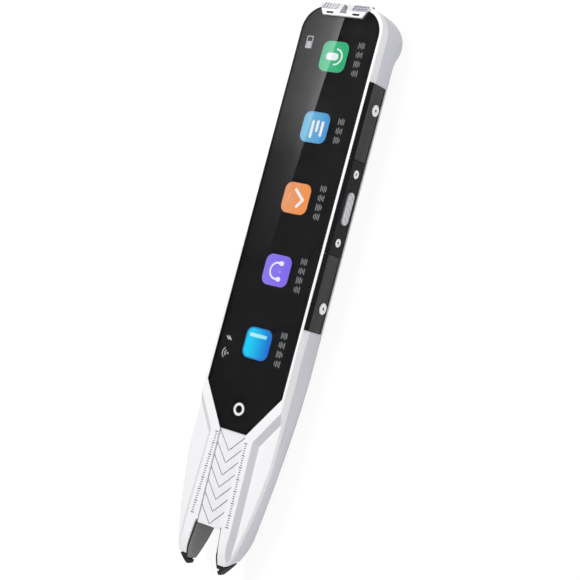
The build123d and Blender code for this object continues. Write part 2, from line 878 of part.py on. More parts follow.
with BuildPart() as mic_bar:
    with BuildSketch(Plane.XY.offset(z_front - bar_skirt)):
        with BuildLine():
            lip_y = top_y - bar_lip_length
            back_y = top_y + bar_overhang
            flare_y = top_y - bar_flare_length
            Polyline(
                (bar_lip_half_width, lip_y),
                (bar_half_width, flare_y),
                (bar_half_width, back_y),
                (-bar_half_width, back_y),
                (-bar_half_width, flare_y),
                (-bar_lip_half_width, lip_y),
                close=True,
            )
        make_face()
    extrude(amount=bar_skirt + bar_proud)
    add(bar_section.part, mode=Mode.INTERSECT)
    with BuildSketch(Plane.XY.offset(z_glass)):
        with Locations((0, glass_top_y - bar_foot_length / 2 + seat_gap)):
            Rectangle(glass_notch_half_width * 2, bar_foot_length + seat_gap * 2)
    extrude(amount=glass_thickness)
    with BuildSketch(Plane.XY.offset(z_glass)):
        with Locations((-slot_x, top_y - slot_y_drop), (slot_x, top_y - slot_y_drop)):
            SlotOverall(slot_length, slot_width)
    extrude(amount=glass_thickness + bar_proud, mode=Mode.SUBTRACT)
mic_bar.part.label = "mic_bar"
export_step(mic_bar.part, "parts/mic_bar.step")

# Ribbed grip pads on the slope of the bar
slope_low = (top_y - bar_lip_length + bar_bevel + bar_flat_length, z_front + bar_proud)
slope_high = (top_y + bar_overhang, z_front - bar_slope_drop)
slope_run = slope_high[0] - slope_low[0]
slope_fall = slope_low[1] - slope_high[1]
slope_length = (slope_run**2 + slope_fall**2) ** 0.5
slope_plane = Plane(
    origin=(0, (slope_low[0] + slope_high[0]) / 2, (slope_low[1] + slope_high[1]) / 2),
    x_dir=(1, 0, 0),
    z_dir=(0, slope_fall, slope_run),
)
pad_centre_x = (pad_inner_x + pad_outer_x) / 2
pad_width = pad_outer_x - pad_inner_x
with BuildPart() as mic_pads:
    with BuildSketch(slope_plane):
        with Locations((-pad_centre_x, 0), (pad_centre_x, 0)):
            Rectangle(pad_width, slope_length - pad_margin * 2)
    extrude(amount=pad_base)
    with BuildSketch(slope_plane.offset(pad_base)):
        with Locations((-pad_centre_x, 0), (pad_centre_x, 0)):
            with GridLocations((pad_width - pad_rib_width) / (pad_rib_count - 1), 0, pad_rib_count, 1):
                Rectangle(pad_rib_width, slope_length - pad_margin * 2)
    extrude(amount=pad_rib_height)
mic_pads.part.label = "mic_pads"
export_step(mic_pads.part, "parts/mic_pads.step")

# Small pointed wedge between the pads, on the crest of the bar
with BuildPart() as bar_wedge:
    with BuildSketch(Plane.XY.offset(z_front)):
        with BuildLine():
            Polyline(
                (-wedge_half_width, top_y - wedge_start),
                (wedge_half_width, top_y - wedge_start),
                (0, top_y - wedge_end),
                close=True,
            )
        make_face()
    extrude(amount=bar_proud + wedge_proud)
    add(bar_section.part, mode=Mode.SUBTRACT)
bar_wedge.part.label = "bar_wedge"
export_step(bar_wedge.part, "parts/bar_wedge.step")

# Two microphone capsules under the ledge, below the slots
with BuildPart() as microphones:
    with BuildSketch(Plane.XY.offset(z_ledge - microphone_height)):
        with Locations((-slot_x, top_y - slot_y_drop), (slot_x, top_y - slot_y_drop)):
            Rectangle(microphone_length, microphone_width)
    extrude(amount=microphone_height)
microphones.part.label = "microphones"
export_step(microphones.part, "parts/microphones.step")

# Chevron panel in the channel, with V grooves that point to the tips
with BuildPart() as chevron_panel:
    with BuildSketch(Plane.XY.offset(z_front - channel_depth)):
        with BuildLine():
            near_half = channel_half_width - chevron_gap
            far_half = channel_end_half_width - chevron_gap
            near_y = glass_end_y - seat_gap
            Polyline(
                (near_half, near_y),
                (far_half, bay_y),
                (-far_half, bay_y),
                (-near_half, near_y),
                close=True,
            )
        make_face()
    extrude(amount=channel_depth - chevron_recess)
    with BuildSketch(Plane.XY.offset(z_front - chevron_recess - groove_depth)):
        for index in range(chevron_count):
            apex_y = glass_end_y - chevron_first_run - index * chevron_pitch
            arm_y = apex_y + chevron_rise
            with BuildLine():
                Polyline(
                    (-channel_half_width, arm_y),
                    (0, apex_y),
                    (channel_half_width, arm_y),
                    (channel_half_width, arm_y - groove_width),
                    (0, apex_y - groove_width),
                    (-channel_half_width, arm_y - groove_width),
                    close=True,
                )
            make_face()
    extrude(amount=groove_depth + overrun, mode=Mode.SUBTRACT)
chevron_panel.part.label = "chevron_panel"
export_step(chevron_panel.part, "parts/chevron_panel.step")

# Smoked liner of the scanning bay: a back wall and two cheeks
with BuildPart() as bay_liner:
    add(bay_gap(liner_thickness, liner_back_y))
    add(bay_gap(0, bay_y), mode=Mode.SUBTRACT)
    add(side_form(0), mode=Mode.INTERSECT)
    with BuildSketch(Plane.YZ):
        with BuildLine():
            cheek_y = tip_y + cheek_short
            Polyline(
                (liner_back_y + overrun, z_front - channel_depth),
                (bay_y, z_front - channel_depth),
                (bay_y, z_front - liner_setback),
                (cheek_y, z_front - liner_setback),
                (cheek_y, -overrun),
                (tip_y - overrun, -overrun),
                (tip_y - overrun, z_front + overrun),
                (liner_back_y + overrun, z_front + overrun),
                close=True,
            )
        make_face()
    extrude(amount=side_half_width, both=True, mode=Mode.SUBTRACT)
    with BuildSketch(Plane.XZ.offset(-liner_back_y - overrun)):
        with Locations((0, optic_height)):
            Rectangle(window_half_width * 2, window_height)
    extrude(amount=liner_back_thickness + overrun * 2, mode=Mode.SUBTRACT)
bay_liner.part.label = "bay_liner"
export_step(bay_liner.part, "parts/bay_liner.step")

# Clear window behind the liner's opening
with BuildPart() as scan_window:
    with BuildSketch(Plane.XZ.offset(-liner_back_y - window_thickness)):
        with Locations((0, optic_height)):
            Rectangle(
                (window_half_width + window_border - seat_gap) * 2,
                window_height + (window_border - seat_gap) * 2,
            )
    extrude(amount=window_thickness)
scan_window.part.label = "scan_window"
export_step(scan_window.part, "parts/scan_window.step")


# Rubber foot on the end of a prong, with a neck that slides in the prong
def rubber_foot(side):
    with BuildPart() as foot:
        add(lower_form.part)
        add(upper_form.part)
        add(beyond_seam(0), mode=Mode.INTERSECT)
        add(bay_gap(0, bay_y), mode=Mode.SUBTRACT)
        with BuildPart(mode=Mode.PRIVATE) as cheek_room:
            add(bay_gap(liner_thickness + neck_gap, bay_y))
            with Locations((0, tip_y + cheek_short - foot_gap - big / 2, 0)):
                Box(big, big, big, mode=Mode.SUBTRACT)
        add(cheek_room.part, mode=Mode.SUBTRACT)
        with BuildSketch(Plane.XZ.offset(-(tip_y + neck_reach))):
            with Locations((side * rod_x, rod_height)):
                Rectangle(neck_half_width * 2, neck_half_height * 2)
        extrude(amount=neck_reach - neck_root)
        with BuildSketch(Plane.YZ):
            with Locations((tip_y, z_front / 2)):
                Rectangle(big, big)
        extrude(amount=-side * big, mode=Mode.SUBTRACT)
        with BuildSketch(Plane.XZ.offset(-(tip_y + neck_reach))):
            with Locations((side * rod_x, rod_height)):
                Circle(rod_radius)
        extrude(amount=rod_sink, mode=Mode.SUBTRACT)
    return foot.part


with BuildPart() as scan_foot:
    add(rubber_foot(-1))
scan_foot.part.label = "scan_foot"
export_step(scan_foot.part, "parts/scan_foot.step")

with BuildPart() as fixed_foot:
    add(rubber_foot(1))
fixed_foot.part.label = "fixed_foot"
export_step(fixed_foot.part, "parts/fixed_foot.step")

# Plunger rod behind the moving foot, with a collar that stops it at the end wall
rod_front_y = tip_y + neck_reach - rod_sink
rod_back_y = bay_y + rod_back
with BuildPart() as foot_plunger:
    with BuildSketch(Plane.XZ.offset(-rod_back_y)):
        with Locations((-rod_x, rod_height)):
            Circle(rod_radius)
    extrude(amount=rod_back_y - rod_front_y)
    with BuildSketch(Plane.XZ.offset(-(cavity_end_y + collar_gap + collar_length))):
        with Locations((-rod_x, rod_height)):
            Circle(collar_radius)
    extrude(amount=collar_length)
foot_plunger.part.label = "foot_plunger"
export_step(foot_plunger.part, "parts/foot_plunger.step")

# Peg that fixes the other foot
with BuildPart() as foot_peg:
    with BuildSketch(Plane.XZ.offset(-(tip_y + neck_reach + peg_length))):
        with Locations((rod_x, rod_height)):
            Circle(rod_radius)
    extrude(amount=peg_length + rod_sink)
foot_peg.part.label = "foot_peg"
export_step(foot_peg.part, "parts/foot_peg.step")

# Switch behind the plunger, on its own small board
foot_plunger_y = rod_back_y + foot_gap
foot_switch_y = foot_plunger_y + plunger_length
foot_board_y = foot_switch_y + switch_depth
with BuildPart() as foot_switch:
    with BuildSketch(Plane.XZ.offset(-foot_board_y)):
        with Locations((-rod_x, rod_height)):
            Rectangle(foot_switch_size, foot_switch_size)
    extrude(amount=switch_depth)
    with BuildSketch(Plane.XZ.offset(-foot_switch_y)):
        with Locations((-rod_x, rod_height)):
            Circle(plunger_radius)
    extrude(amount=plunger_length)
foot_switch.part.label = "foot_switch"
export_step(foot_switch.part, "parts/foot_switch.step")

with BuildPart() as foot_switch_board:
    with BuildSketch(Plane.XZ.offset(-(foot_board_y + board_thickness))):
        with Locations((-rod_x, optic_height)):
            Rectangle(foot_board_half_width * 2, foot_board_half_height * 2)
    extrude(amount=board_thickness)
foot_switch_board.part.label = "foot_switch_board"
export_step(foot_switch_board.part, "parts/foot_switch_board.step")


# Length of rail section between two stations, counted along the pen from the rail's middle
def rail_piece(start_y, end_y):
    with BuildPart() as piece:
        with BuildSketch(Plane.XZ.offset(-(rail_middle_y + end_y))):
            with BuildLine():
                Polyline(
                    (rail_seat_x, z_front - rail_top_drop),
                    (rail_top_x, z_front - rail_top_drop),
                    (rail_face_x, z_front - rail_bevel_drop),
                    (rail_face_x, z_front - rail_flat_drop),
                    (rail_rear_x, z_front - rail_rear_drop),
                    (rail_seat_x, z_front - rail_rear_drop),
                    close=True,
                )
            make_face()
        extrude(amount=end_y - start_y)
    return piece.part


# Smooth slabs at both ends of the rail
slab_ends = {
    "side_rail_upper": (panel_half_length + rail_joint_gap, rail_half_length - seat_gap),
    "side_rail_lower": (seat_gap - rail_half_length, -panel_half_length - rail_joint_gap),
}
for name, (start_y, end_y) in slab_ends.items():
    with BuildPart() as slab:
        add(rail_piece(start_y, end_y))
        with BuildSketch(Plane.YZ.offset(rail_seat_x)):
            with Locations(*slab_spots):
                Circle(rail_screw_radius)
        extrude(amount=side_half_width, mode=Mode.SUBTRACT)
    slab.part.label = name
    export_step(slab.part, f"parts/{name}.step")

# Key panel between the slabs, with the slot for the power button
with BuildPart() as key_panel:
    add(rail_piece(-panel_half_length, panel_half_length))
    add(
        side_pill(
            button_length + slide_gap * 2,
            button_width + slide_gap * 2,
            button_height,
            rail_seat_x - overrun,
            rail_face_x + overrun,
        ),
        mode=Mode.SUBTRACT,
    )
    with BuildSketch(Plane.YZ.offset(rail_seat_x)):
        with Locations(*panel_spots):
            Circle(rail_screw_radius)
    extrude(amount=side_half_width, mode=Mode.SUBTRACT)
key_panel.part.label = "key_panel"
export_step(key_panel.part, "parts/key_panel.step")

# Power button: domed cap with slanted grip grooves, and a flange inside the wall that keeps it in
button_face_x = rail_face_x + button_proud
flange_outer_x = inner_half_width - flange_gap
flange_inner_x = flange_outer_x - flange_thickness
with BuildPart() as power_button:
    add(side_pill(button_length, button_width, button_height, flange_outer_x, button_face_x))
    fillet(power_button.faces().sort_by(Axis.X)[-1].edges(), button_dome)
    add(side_pill(flange_length, flange_width, button_height, flange_inner_x, flange_outer_x))
    with BuildSketch(Plane.YZ.offset(button_face_x - grip_depth)):
        with Locations((rail_middle_y, button_height)):
            with GridLocations(grip_pitch, 0, grip_count, 1):
                SlotOverall(grip_length, grip_width, rotation=90 - grip_angle)
    extrude(amount=grip_depth + overrun, mode=Mode.SUBTRACT)
power_button.part.label = "power_button"
export_step(power_button.part, "parts/power_button.step")

# Side switch on the edge of the main board, behind the power button
button_plunger_x = flange_inner_x - switch_gap
button_switch_x = button_plunger_x - plunger_length
with BuildPart() as power_switch:
    with BuildSketch(Plane.YZ.offset(button_switch_x - button_switch_depth)):
        with Locations((rail_middle_y, z_board - button_switch_height / 2)):
            Rectangle(button_switch_length, button_switch_height)
    extrude(amount=button_switch_depth)
    with BuildSketch(Plane.YZ.offset(button_switch_x)):
        with Locations((rail_middle_y, z_board - button_plunger_drop)):
            Circle(plunger_radius)
    extrude(amount=plunger_length)
power_switch.part.label = "power_switch"
export_step(power_switch.part, "parts/power_switch.step")


# Pair of raised ring washers on the rail
def ring_pair(spots, radius, proud):
    with BuildPart() as rings:
        with BuildSketch(Plane.YZ.offset(rail_face_x)):
            with Locations(*spots):
                Circle(radius)
        extrude(amount=proud)
        fillet(rings.faces().group_by(Axis.X)[-1].edges(), proud - slab_ring_bevel)
        with BuildSketch(Plane.YZ.offset(rail_face_x)):
            with Locations(*spots):
                Circle(ring_bore_radius)
        extrude(amount=proud, mode=Mode.SUBTRACT)
    return rings.part


# Pair of screws through the rings into the wall
def screw_pair(spots, proud):
    with BuildPart() as screws:
        with BuildSketch(Plane.YZ.offset(rail_face_x - rail_screw_length)):
            with Locations(*spots):
                Circle(rail_screw_radius)
        extrude(amount=rail_screw_length + proud - rail_screw_sink)
    return screws.part


with BuildPart() as slab_rings:
    add(ring_pair(slab_spots, slab_ring_radius, slab_ring_proud))
slab_rings.part.label = "slab_rings"
export_step(slab_rings.part, "parts/slab_rings.step")

with BuildPart() as slab_screws:
    add(screw_pair(slab_spots, slab_ring_proud))
slab_screws.part.label = "slab_screws"
export_step(slab_screws.part, "parts/slab_screws.step")

with BuildPart() as panel_rings:
    add(ring_pair(panel_spots, panel_ring_radius, panel_ring_proud))
panel_rings.part.label = "panel_rings"
export_step(panel_rings.part, "parts/panel_rings.step")

with BuildPart() as panel_screws:
    add(screw_pair(panel_spots, panel_ring_proud))
panel_screws.part.label = "panel_screws"
export_step(panel_screws.part, "parts/panel_screws.step")

# Main board with a narrow tongue between the top screws
with BuildPart() as main_board:
    with BuildSketch(Plane.XY.offset(z_board)):
        with Locations((0, (board_top_y + board_tail_y) / 2)):
            Rectangle(board_half_width * 2, board_top_y - board_tail_y)
        with Locations((0, (board_tongue_y + board_tail_y) / 2)):
            Rectangle(board_tongue_half_width * 2, board_tongue_y - board_tail_y)
        with Locations(*board_screw_centres):
            Circle(board_screw_radius, mode=Mode.SUBTRACT)
    extrude(amount=board_thickness)
main_board.part.label = "main_board"
export_step(main_board.part, "parts/main_board.step")

with BuildPart() as board_screws:
    with BuildSketch(Plane.XY.offset(z_board + board_thickness)):
        with Locations(*board_screw_centres):
            Circle(board_screw_head_radius)
    extrude(amount=board_screw_head)
    with BuildSketch(Plane.XY.offset(z_board + board_thickness)):
        with Locations(*board_screw_centres):
            Circle(board_screw_radius)
    extrude(amount=-board_screw_length)
board_screws.part.label = "board_screws"
export_step(board_screws.part, "parts/board_screws.step")

# Processor and memory under a shield can, and a second chip near the top
with BuildPart() as processor:
    with BuildSketch(Plane.XY.offset(z_board)):
        with Locations((0, can_y)):
            Rectangle(chip_size, chip_size)
    extrude(amount=-chip_thickness)
processor.part.label = "processor"
export_step(processor.part, "parts/processor.step")

with BuildPart() as shield_can:
    with BuildSketch(Plane.XY.offset(z_board)):
        with Locations((0, can_y)):
            Rectangle(can_half_width * 2, can_length)
    extrude(amount=-can_depth)
    with BuildSketch(Plane.XY.offset(z_board)):
        with Locations((0, can_y)):
            Rectangle((can_half_width - can_wall) * 2, can_length - can_wall * 2)
    extrude(amount=can_wall - can_depth, mode=Mode.SUBTRACT)
shield_can.part.label = "shield_can"
export_step(shield_can.part, "parts/shield_can.step")

with BuildPart() as memory_chip:
    with BuildSketch(Plane.XY.offset(z_board)):
        with Locations((0, memory_y)):
            Rectangle(memory_length, memory_width)
    extrude(amount=-chip_thickness)
memory_chip.part.label = "memory_chip"
export_step(memory_chip.part, "parts/memory_chip.step")

# Ribbon connectors at the tail of the board
ribbons = [(display_ribbon_x, display_ribbon_half_width), (camera_ribbon_x, camera_ribbon_half_width)]
with BuildPart() as ribbon_connectors:
    with BuildSketch(Plane.XY.offset(z_board)):
        for ribbon_x, half in ribbons:
            with Locations((ribbon_x, connector_y)):
                Rectangle((half + connector_margin) * 2, connector_length)
    extrude(amount=-connector_height)
ribbon_connectors.part.label = "ribbon_connectors"
export_step(ribbon_connectors.part, "parts/ribbon_connectors.step")

# Display ribbon, from the tail of the display round the end of the board to its connector
ribbon_end_y = connector_y - connector_length / 2
ribbon_low_z = z_board - ribbon_drop
ribbon_high_z = z_tray + ribbon_drop
ribbon_radius = (ribbon_high_z - ribbon_low_z) / 2
ribbon_turn_y = board_tail_y - display_ribbon_reach
with BuildPart() as display_ribbon:
    with BuildSketch(Plane.YZ.offset(display_ribbon_x - display_ribbon_half_width)):
        with BuildLine():
            Line((display_end_y, ribbon_high_z), (ribbon_turn_y, ribbon_high_z))
            CenterArc((ribbon_turn_y, ribbon_low_z + ribbon_radius), ribbon_radius, 90, 180)
            Line((ribbon_turn_y, ribbon_low_z), (ribbon_end_y, ribbon_low_z))
        trace(line_width=ribbon_thickness)
    extrude(amount=display_ribbon_half_width * 2)
display_ribbon.part.label = "display_ribbon"
export_step(display_ribbon.part, "parts/display_ribbon.step")

# Camera ribbon, straight from its connector to the camera board
sensor_board_y = bay_y + sensor_board_back + sensor_board_thickness
with BuildPart() as camera_ribbon:
    with BuildSketch(Plane.XY.offset(z_board - camera_ribbon_drop)):
        with Locations((camera_ribbon_x, (ribbon_end_y + sensor_board_y) / 2)):
            Rectangle(camera_ribbon_half_width * 2, ribbon_end_y - sensor_board_y)
    extrude(amount=ribbon_thickness)
camera_ribbon.part.label = "camera_ribbon"
export_step(camera_ribbon.part, "parts/camera_ribbon.step")

# Camera board, sensor, lens holder with its barrel, and lens
with BuildPart() as camera_board:
    with BuildSketch(Plane.XZ.offset(-sensor_board_y)):
        with Locations((0, optic_height)):
            Rectangle(sensor_board_half_width * 2, sensor_board_half_height * 2)
    extrude(amount=sensor_board_thickness)
camera_board.part.label = "camera_board"
export_step(camera_board.part, "parts/camera_board.step")

sensor_y = bay_y + sensor_board_back
with BuildPart() as image_sensor:
    with BuildSketch(Plane.XZ.offset(-sensor_y)):
        with Locations((0, optic_height)):
            Rectangle(sensor_size, sensor_size)
    extrude(amount=sensor_thickness)
image_sensor.part.label = "image_sensor"
export_step(image_sensor.part, "parts/image_sensor.step")

barrel_front_y = bay_y + barrel_front_back
with BuildPart() as lens_holder:
    with BuildSketch(Plane.XZ.offset(-sensor_y)):
        with Locations((0, optic_height)):
            Rectangle(holder_half_width * 2, holder_half_height * 2)
    extrude(amount=holder_length)
    with BuildSketch(Plane.XZ.offset(-(sensor_y - holder_length))):
        with Locations((0, optic_height)):
            Circle(barrel_radius)
    extrude(amount=sensor_y - holder_length - barrel_front_y)
    with BuildSketch(Plane.XZ.offset(-sensor_y)):
        with Locations((0, optic_height)):
            Circle(barrel_bore_radius)
    extrude(amount=sensor_y - barrel_front_y, mode=Mode.SUBTRACT)
    with BuildSketch(Plane.XZ.offset(-sensor_y)):
        with Locations((0, optic_height)):
            Rectangle(sensor_size + seat_gap * 2, sensor_size + seat_gap * 2)
    extrude(amount=sensor_thickness + seat_gap, mode=Mode.SUBTRACT)
lens_holder.part.label = "lens_holder"
export_step(lens_holder.part, "parts/lens_holder.step")

with BuildPart() as camera_lens:
    with BuildSketch(Plane.XZ.offset(-(barrel_front_y + lens_inset + lens_thickness))):
        with Locations((0, optic_height)):
            Circle(barrel_bore_radius - seat_gap / 2)
    extrude(amount=lens_thickness)
camera_lens.part.label = "camera_lens"
export_step(camera_lens.part, "parts/camera_lens.step")

# Lamp board with a hole for the camera's view, and a lamp on each side of it
lamp_board_y = bay_y + lamp_board_back
with BuildPart() as lamp_board:
    with BuildSketch(Plane.XZ.offset(-(lamp_board_y + lamp_board_thickness))):
        with Locations((0, optic_height)):
            Rectangle(lamp_board_half_width * 2, lamp_board_half_height * 2)
            Circle(lamp_hole_radius, mode=Mode.SUBTRACT)
    extrude(amount=lamp_board_thickness)
lamp_board.part.label = "lamp_board"
export_step(lamp_board.part, "parts/lamp_board.step")

with BuildPart() as scan_lamps:
    with BuildSketch(Plane.XZ.offset(-lamp_board_y)):
        with Locations((-lamp_x, optic_height), (lamp_x, optic_height)):
            Rectangle(lamp_size, lamp_size)
    extrude(amount=lamp_thickness)
scan_lamps.part.label = "scan_lamps"
export_step(scan_lamps.part, "parts/scan_lamps.step")

# Battery pouch on its adhesive tape
with BuildPart() as battery_tape:
    with BuildSketch(Plane.XY.offset(z_floor)):
        with Locations((0, battery_y)):
            Rectangle((battery_half_width - tape_inset) * 2, battery_length - tape_inset * 2)
    extrude(amount=tape_thickness)
battery_tape.part.label = "battery_tape"
export_step(battery_tape.part, "parts/battery_tape.step")

with BuildPart() as battery:
    with BuildSketch(Plane.XY.offset(z_floor + tape_thickness)):
        with Locations((0, battery_y)):
            Rectangle(battery_half_width * 2, battery_length)
    extrude(amount=battery_thickness)
    fillet(battery.edges().filter_by(Axis.Y), battery_radius)
battery.part.label = "battery"
export_step(battery.part, "parts/battery.step")

# Charging socket: shell and tongue
usb_mouth_y = top_y - usb_recess
usb_centre_z = z_board - usb_height / 2
with BuildPart() as usb_shell:
    with BuildSketch(Plane.XZ.offset(-usb_mouth_y)):
        with Locations((0, usb_centre_z)):
            SlotOverall(usb_half_width * 2, usb_height)
    extrude(amount=usb_length)
    with BuildSketch(Plane.XZ.offset(-usb_mouth_y)):
        with Locations((0, usb_centre_z)):
            SlotOverall((usb_half_width - usb_wall) * 2, usb_height - usb_wall * 2)
    extrude(amount=usb_length - usb_wall, mode=Mode.SUBTRACT)
usb_shell.part.label = "usb_shell"
export_step(usb_shell.part, "parts/usb_shell.step")

with BuildPart() as usb_tongue:
    with BuildSketch(Plane.XZ.offset(-(usb_mouth_y - usb_length + usb_wall))):
        with Locations((0, usb_centre_z)):
            Rectangle(usb_tongue_half_width * 2, usb_tongue_thickness)
    extrude(amount=-usb_tongue_length)
usb_tongue.part.label = "usb_tongue"
export_step(usb_tongue.part, "parts/usb_tongue.step")

# Loudspeaker in the bump, with its gasket and dust mesh over the slots
gasket_z = mesh_z + mesh_thickness
speaker_z = gasket_z + gasket_thickness
with BuildPart() as speaker_mesh:
    with BuildSketch(Plane.XY.offset(mesh_z)):
        with Locations((0, speaker_y)):
            Rectangle((speaker_half_width - mesh_border) * 2, speaker_length - mesh_border * 2)
    extrude(amount=mesh_thickness)
speaker_mesh.part.label = "speaker_mesh"
export_step(speaker_mesh.part, "parts/speaker_mesh.step")

with BuildPart() as speaker_gasket:
    with BuildSketch(Plane.XY.offset(gasket_z)):
        with Locations((0, speaker_y)):
            Rectangle(speaker_half_width * 2, speaker_length)
            Rectangle(
                (speaker_half_width - gasket_wall) * 2,
                speaker_length - gasket_wall * 2,
                mode=Mode.SUBTRACT,
            )
    extrude(amount=gasket_thickness)
speaker_gasket.part.label = "speaker_gasket"
export_step(speaker_gasket.part, "parts/speaker_gasket.step")

with BuildPart() as speaker:
    with BuildSketch(Plane.XY.offset(speaker_z)):
        with Locations((0, speaker_y)):
            Rectangle(speaker_half_width * 2, speaker_length)
    extrude(amount=speaker_thickness)
speaker.part.label = "speaker"
export_step(speaker.part, "parts/speaker.step")

# Antenna strip on the left wall
with BuildPart() as antenna:
    with BuildSketch(Plane.YZ.offset(-inner_half_width)):
        with Locations((antenna_y, (antenna_low + antenna_high) / 2)):
            Rectangle(antenna_length, antenna_high - antenna_low)
    extrude(amount=antenna_thickness)
antenna.part.label = "antenna"
export_step(antenna.part, "parts/antenna.step")

# Case screws from the back into the frame's bosses
with BuildPart() as case_screws:
    with BuildSketch(Plane.XY.offset(case_screw_seat)):
        with Locations(*all_screw_centres):
            Circle(case_screw_head_radius)
    extrude(amount=-case_screw_head)
    with BuildSketch(Plane.XY.offset(case_screw_seat)):
        with Locations(*all_screw_centres):
            Circle(case_screw_radius)
    extrude(amount=screw_tip_height - case_screw_seat)
    with BuildSketch(Plane.XY.offset(case_screw_seat - case_screw_head)):
        for turn in (0, 90):
            with Locations(*all_screw_centres):
                Rectangle(case_screw_head_radius * 2 - driver_cut_width, driver_cut_width, rotation=turn)
    extrude(amount=driver_cut_depth, mode=Mode.SUBTRACT)
case_screws.part.label = "case_screws"
export_step(case_screws.part, "parts/case_screws.step")
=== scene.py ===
# %% [markdown]
# # A scanning pen in looks and light
# The pen lies on its back with its long screen up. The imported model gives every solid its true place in
# metres, and the cells below give each surface its finish and add what the solids leave out: the ink
# under the glass, the lit marks of the screen, fine rounded edges and printed ticks.

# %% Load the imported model
import bpy
import math
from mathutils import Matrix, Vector


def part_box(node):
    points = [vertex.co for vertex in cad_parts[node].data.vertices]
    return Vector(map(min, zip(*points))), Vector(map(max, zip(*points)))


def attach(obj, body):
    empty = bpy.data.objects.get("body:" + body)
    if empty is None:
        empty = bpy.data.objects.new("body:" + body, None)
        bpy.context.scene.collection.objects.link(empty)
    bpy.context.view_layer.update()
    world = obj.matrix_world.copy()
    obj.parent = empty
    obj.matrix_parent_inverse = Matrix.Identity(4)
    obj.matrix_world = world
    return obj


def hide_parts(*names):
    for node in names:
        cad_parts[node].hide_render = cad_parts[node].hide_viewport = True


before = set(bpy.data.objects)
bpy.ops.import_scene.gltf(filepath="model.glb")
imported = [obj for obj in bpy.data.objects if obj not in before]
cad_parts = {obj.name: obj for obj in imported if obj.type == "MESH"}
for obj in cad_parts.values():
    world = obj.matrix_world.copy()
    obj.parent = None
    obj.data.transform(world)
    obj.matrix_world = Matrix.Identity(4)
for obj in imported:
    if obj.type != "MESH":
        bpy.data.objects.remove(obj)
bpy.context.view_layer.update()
MM = 0.001

# %% [markdown]
# ## Camera
# The photograph looks at the screen from above and from the side with the button, through a long lens, so
# the edges of the pen stay nearly parallel. A lens of 96 mm on a 36 mm sensor, half a metre away, does
# the same. The place and the three axes of the camera were worked out by fitting the pen's corners to the
# picture.

# %% Put the camera where the photographer stood
SENSOR_WIDTH, LENS_LENGTH = 36, 95.92
CAMERA_PLACE = (0.27110, -0.04492, 0.38568)
CAMERA_TURNS = (12.3106, 33.3868, 17.9474)
camera_data = bpy.data.cameras.new("pen_camera")
camera = bpy.data.objects.new("pen_camera", camera_data)
bpy.context.collection.objects.link(camera)
camera_data.sensor_width = SENSOR_WIDTH
camera_data.lens = LENS_LENGTH
camera_data.clip_start, camera_data.clip_end = 0.01, 20
camera.location = CAMERA_PLACE
camera.rotation_euler = [math.radians(turn) for turn in CAMERA_TURNS]
bpy.context.scene.camera = camera
bpy.context.scene.view_settings.view_transform = "Standard"
print("camera", [round(v, 4) for v in camera.location])

# %% [markdown]
# ## Small tools for modelling
# An operator works on whatever is selected, and the loaded solids start out selected. So each piece
# begins with an empty selection. A piece is dressed at the end: it gets a finish and the body that it moves
# with, and the imported solid that it stands for is named. A imported solid that is shown as it is
# only gets painted, and faces picked out by their tilt or place can get one more finish.

# %% Selection
def clear_selection():
    if bpy.context.object and bpy.context.object.mode != "OBJECT":
        bpy.ops.object.mode_set(mode="OBJECT")
    bpy.ops.object.select_all(action="DESELECT")


def pick(piece):
    clear_selection()
    piece.select_set(True)
    bpy.context.view_layer.objects.active = piece


def apply_modifiers(piece):
    pick(piece)
    for modifier in list(piece.modifiers):
        bpy.ops.object.modifier_apply(modifier=modifier.name)


clear_selection()
print("selection tools ready")

# %% Finish and body of a piece
def dress(piece, finish, body, slot, *nodes):
    piece.data.materials.clear()
    piece.data.materials.append(finish)
    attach(piece, body)
    if nodes:
        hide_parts(*nodes)
    return piece


def paint(node, finish):
    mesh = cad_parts[node].data
    mesh.materials.clear()
    mesh.materials.append(finish)
    return mesh


def repaint_where(mesh, finish, chosen):
    mesh.materials.append(finish)
    faces = [face for face in mesh.polygons if chosen(face)]
    for face in faces:
        face.material_index = len(mesh.materials) - 1
    return len(faces)


print("dressing tools ready")

# %% [markdown]
# ## How a moulded finish is made
# Moulded plastic is never one flat value. Its colour drifts a little over some centimetres, a fine grain
# left by the mould breaks up the gloss, and its edges are rounded by a few tenths of a millimetre,
# polished by hands. Each piece could have a node tree of its own, but dozens of trees would repeat the
# same nodes, so one recipe covers them all: two scales of noise, and a Bevel node that bends the normal
# at edges. Where the bent normal leaves the flat one, there is an edge, and that difference is also the
# mask for the edge tone. On the pale finishes a lighter edge tone is wear. Where the edge tone is darker,
# as on the black slabs, the smoked liner and the chevron panel, it is painted shade.

# %% Nodes that several finishes share
def new_finish(name):
    finish = bpy.data.materials.new(name)
    finish.use_nodes = True
    return finish, finish.node_tree, finish.node_tree.nodes["Principled BSDF"]


def add_noise(tree, place, size, detail):
    noise = tree.nodes.new("ShaderNodeTexNoise")
    noise.inputs["Scale"].default_value = 1 / (size * MM)
    noise.inputs["Detail"].default_value = detail
    tree.links.new(place, noise.inputs["Vector"])
    return noise


def remap(tree, source, start, end, low=0.0, high=1.0):
    run = tree.nodes.new("ShaderNodeMapRange")
    for socket, value in (("From Min", start), ("From Max", end), ("To Min", low), ("To Max", high)):
        run.inputs[socket].default_value = value
    tree.links.new(source, run.inputs["Value"])
    return run.outputs["Result"]


def mix_values(tree, first, second, share):
    mix = tree.nodes.new("ShaderNodeMix")
    mix.inputs["Factor"].default_value = share
    tree.links.new(first, mix.inputs["A"])
    tree.links.new(second, mix.inputs["B"])
    return mix.outputs["Result"]


def add_relief(tree, height, depth, strength):
    relief = tree.nodes.new("ShaderNodeBump")
    relief.inputs["Distance"].default_value = depth * MM
    relief.inputs["Strength"].default_value = strength
    tree.links.new(height, relief.inputs["Height"])
    return relief


print("shared nodes ready")

# %% Ribs and worn edges
WAVE_PERIOD = math.pi / 10
FLAT_MATCH, EDGE_MATCH = 0.99, 0.8


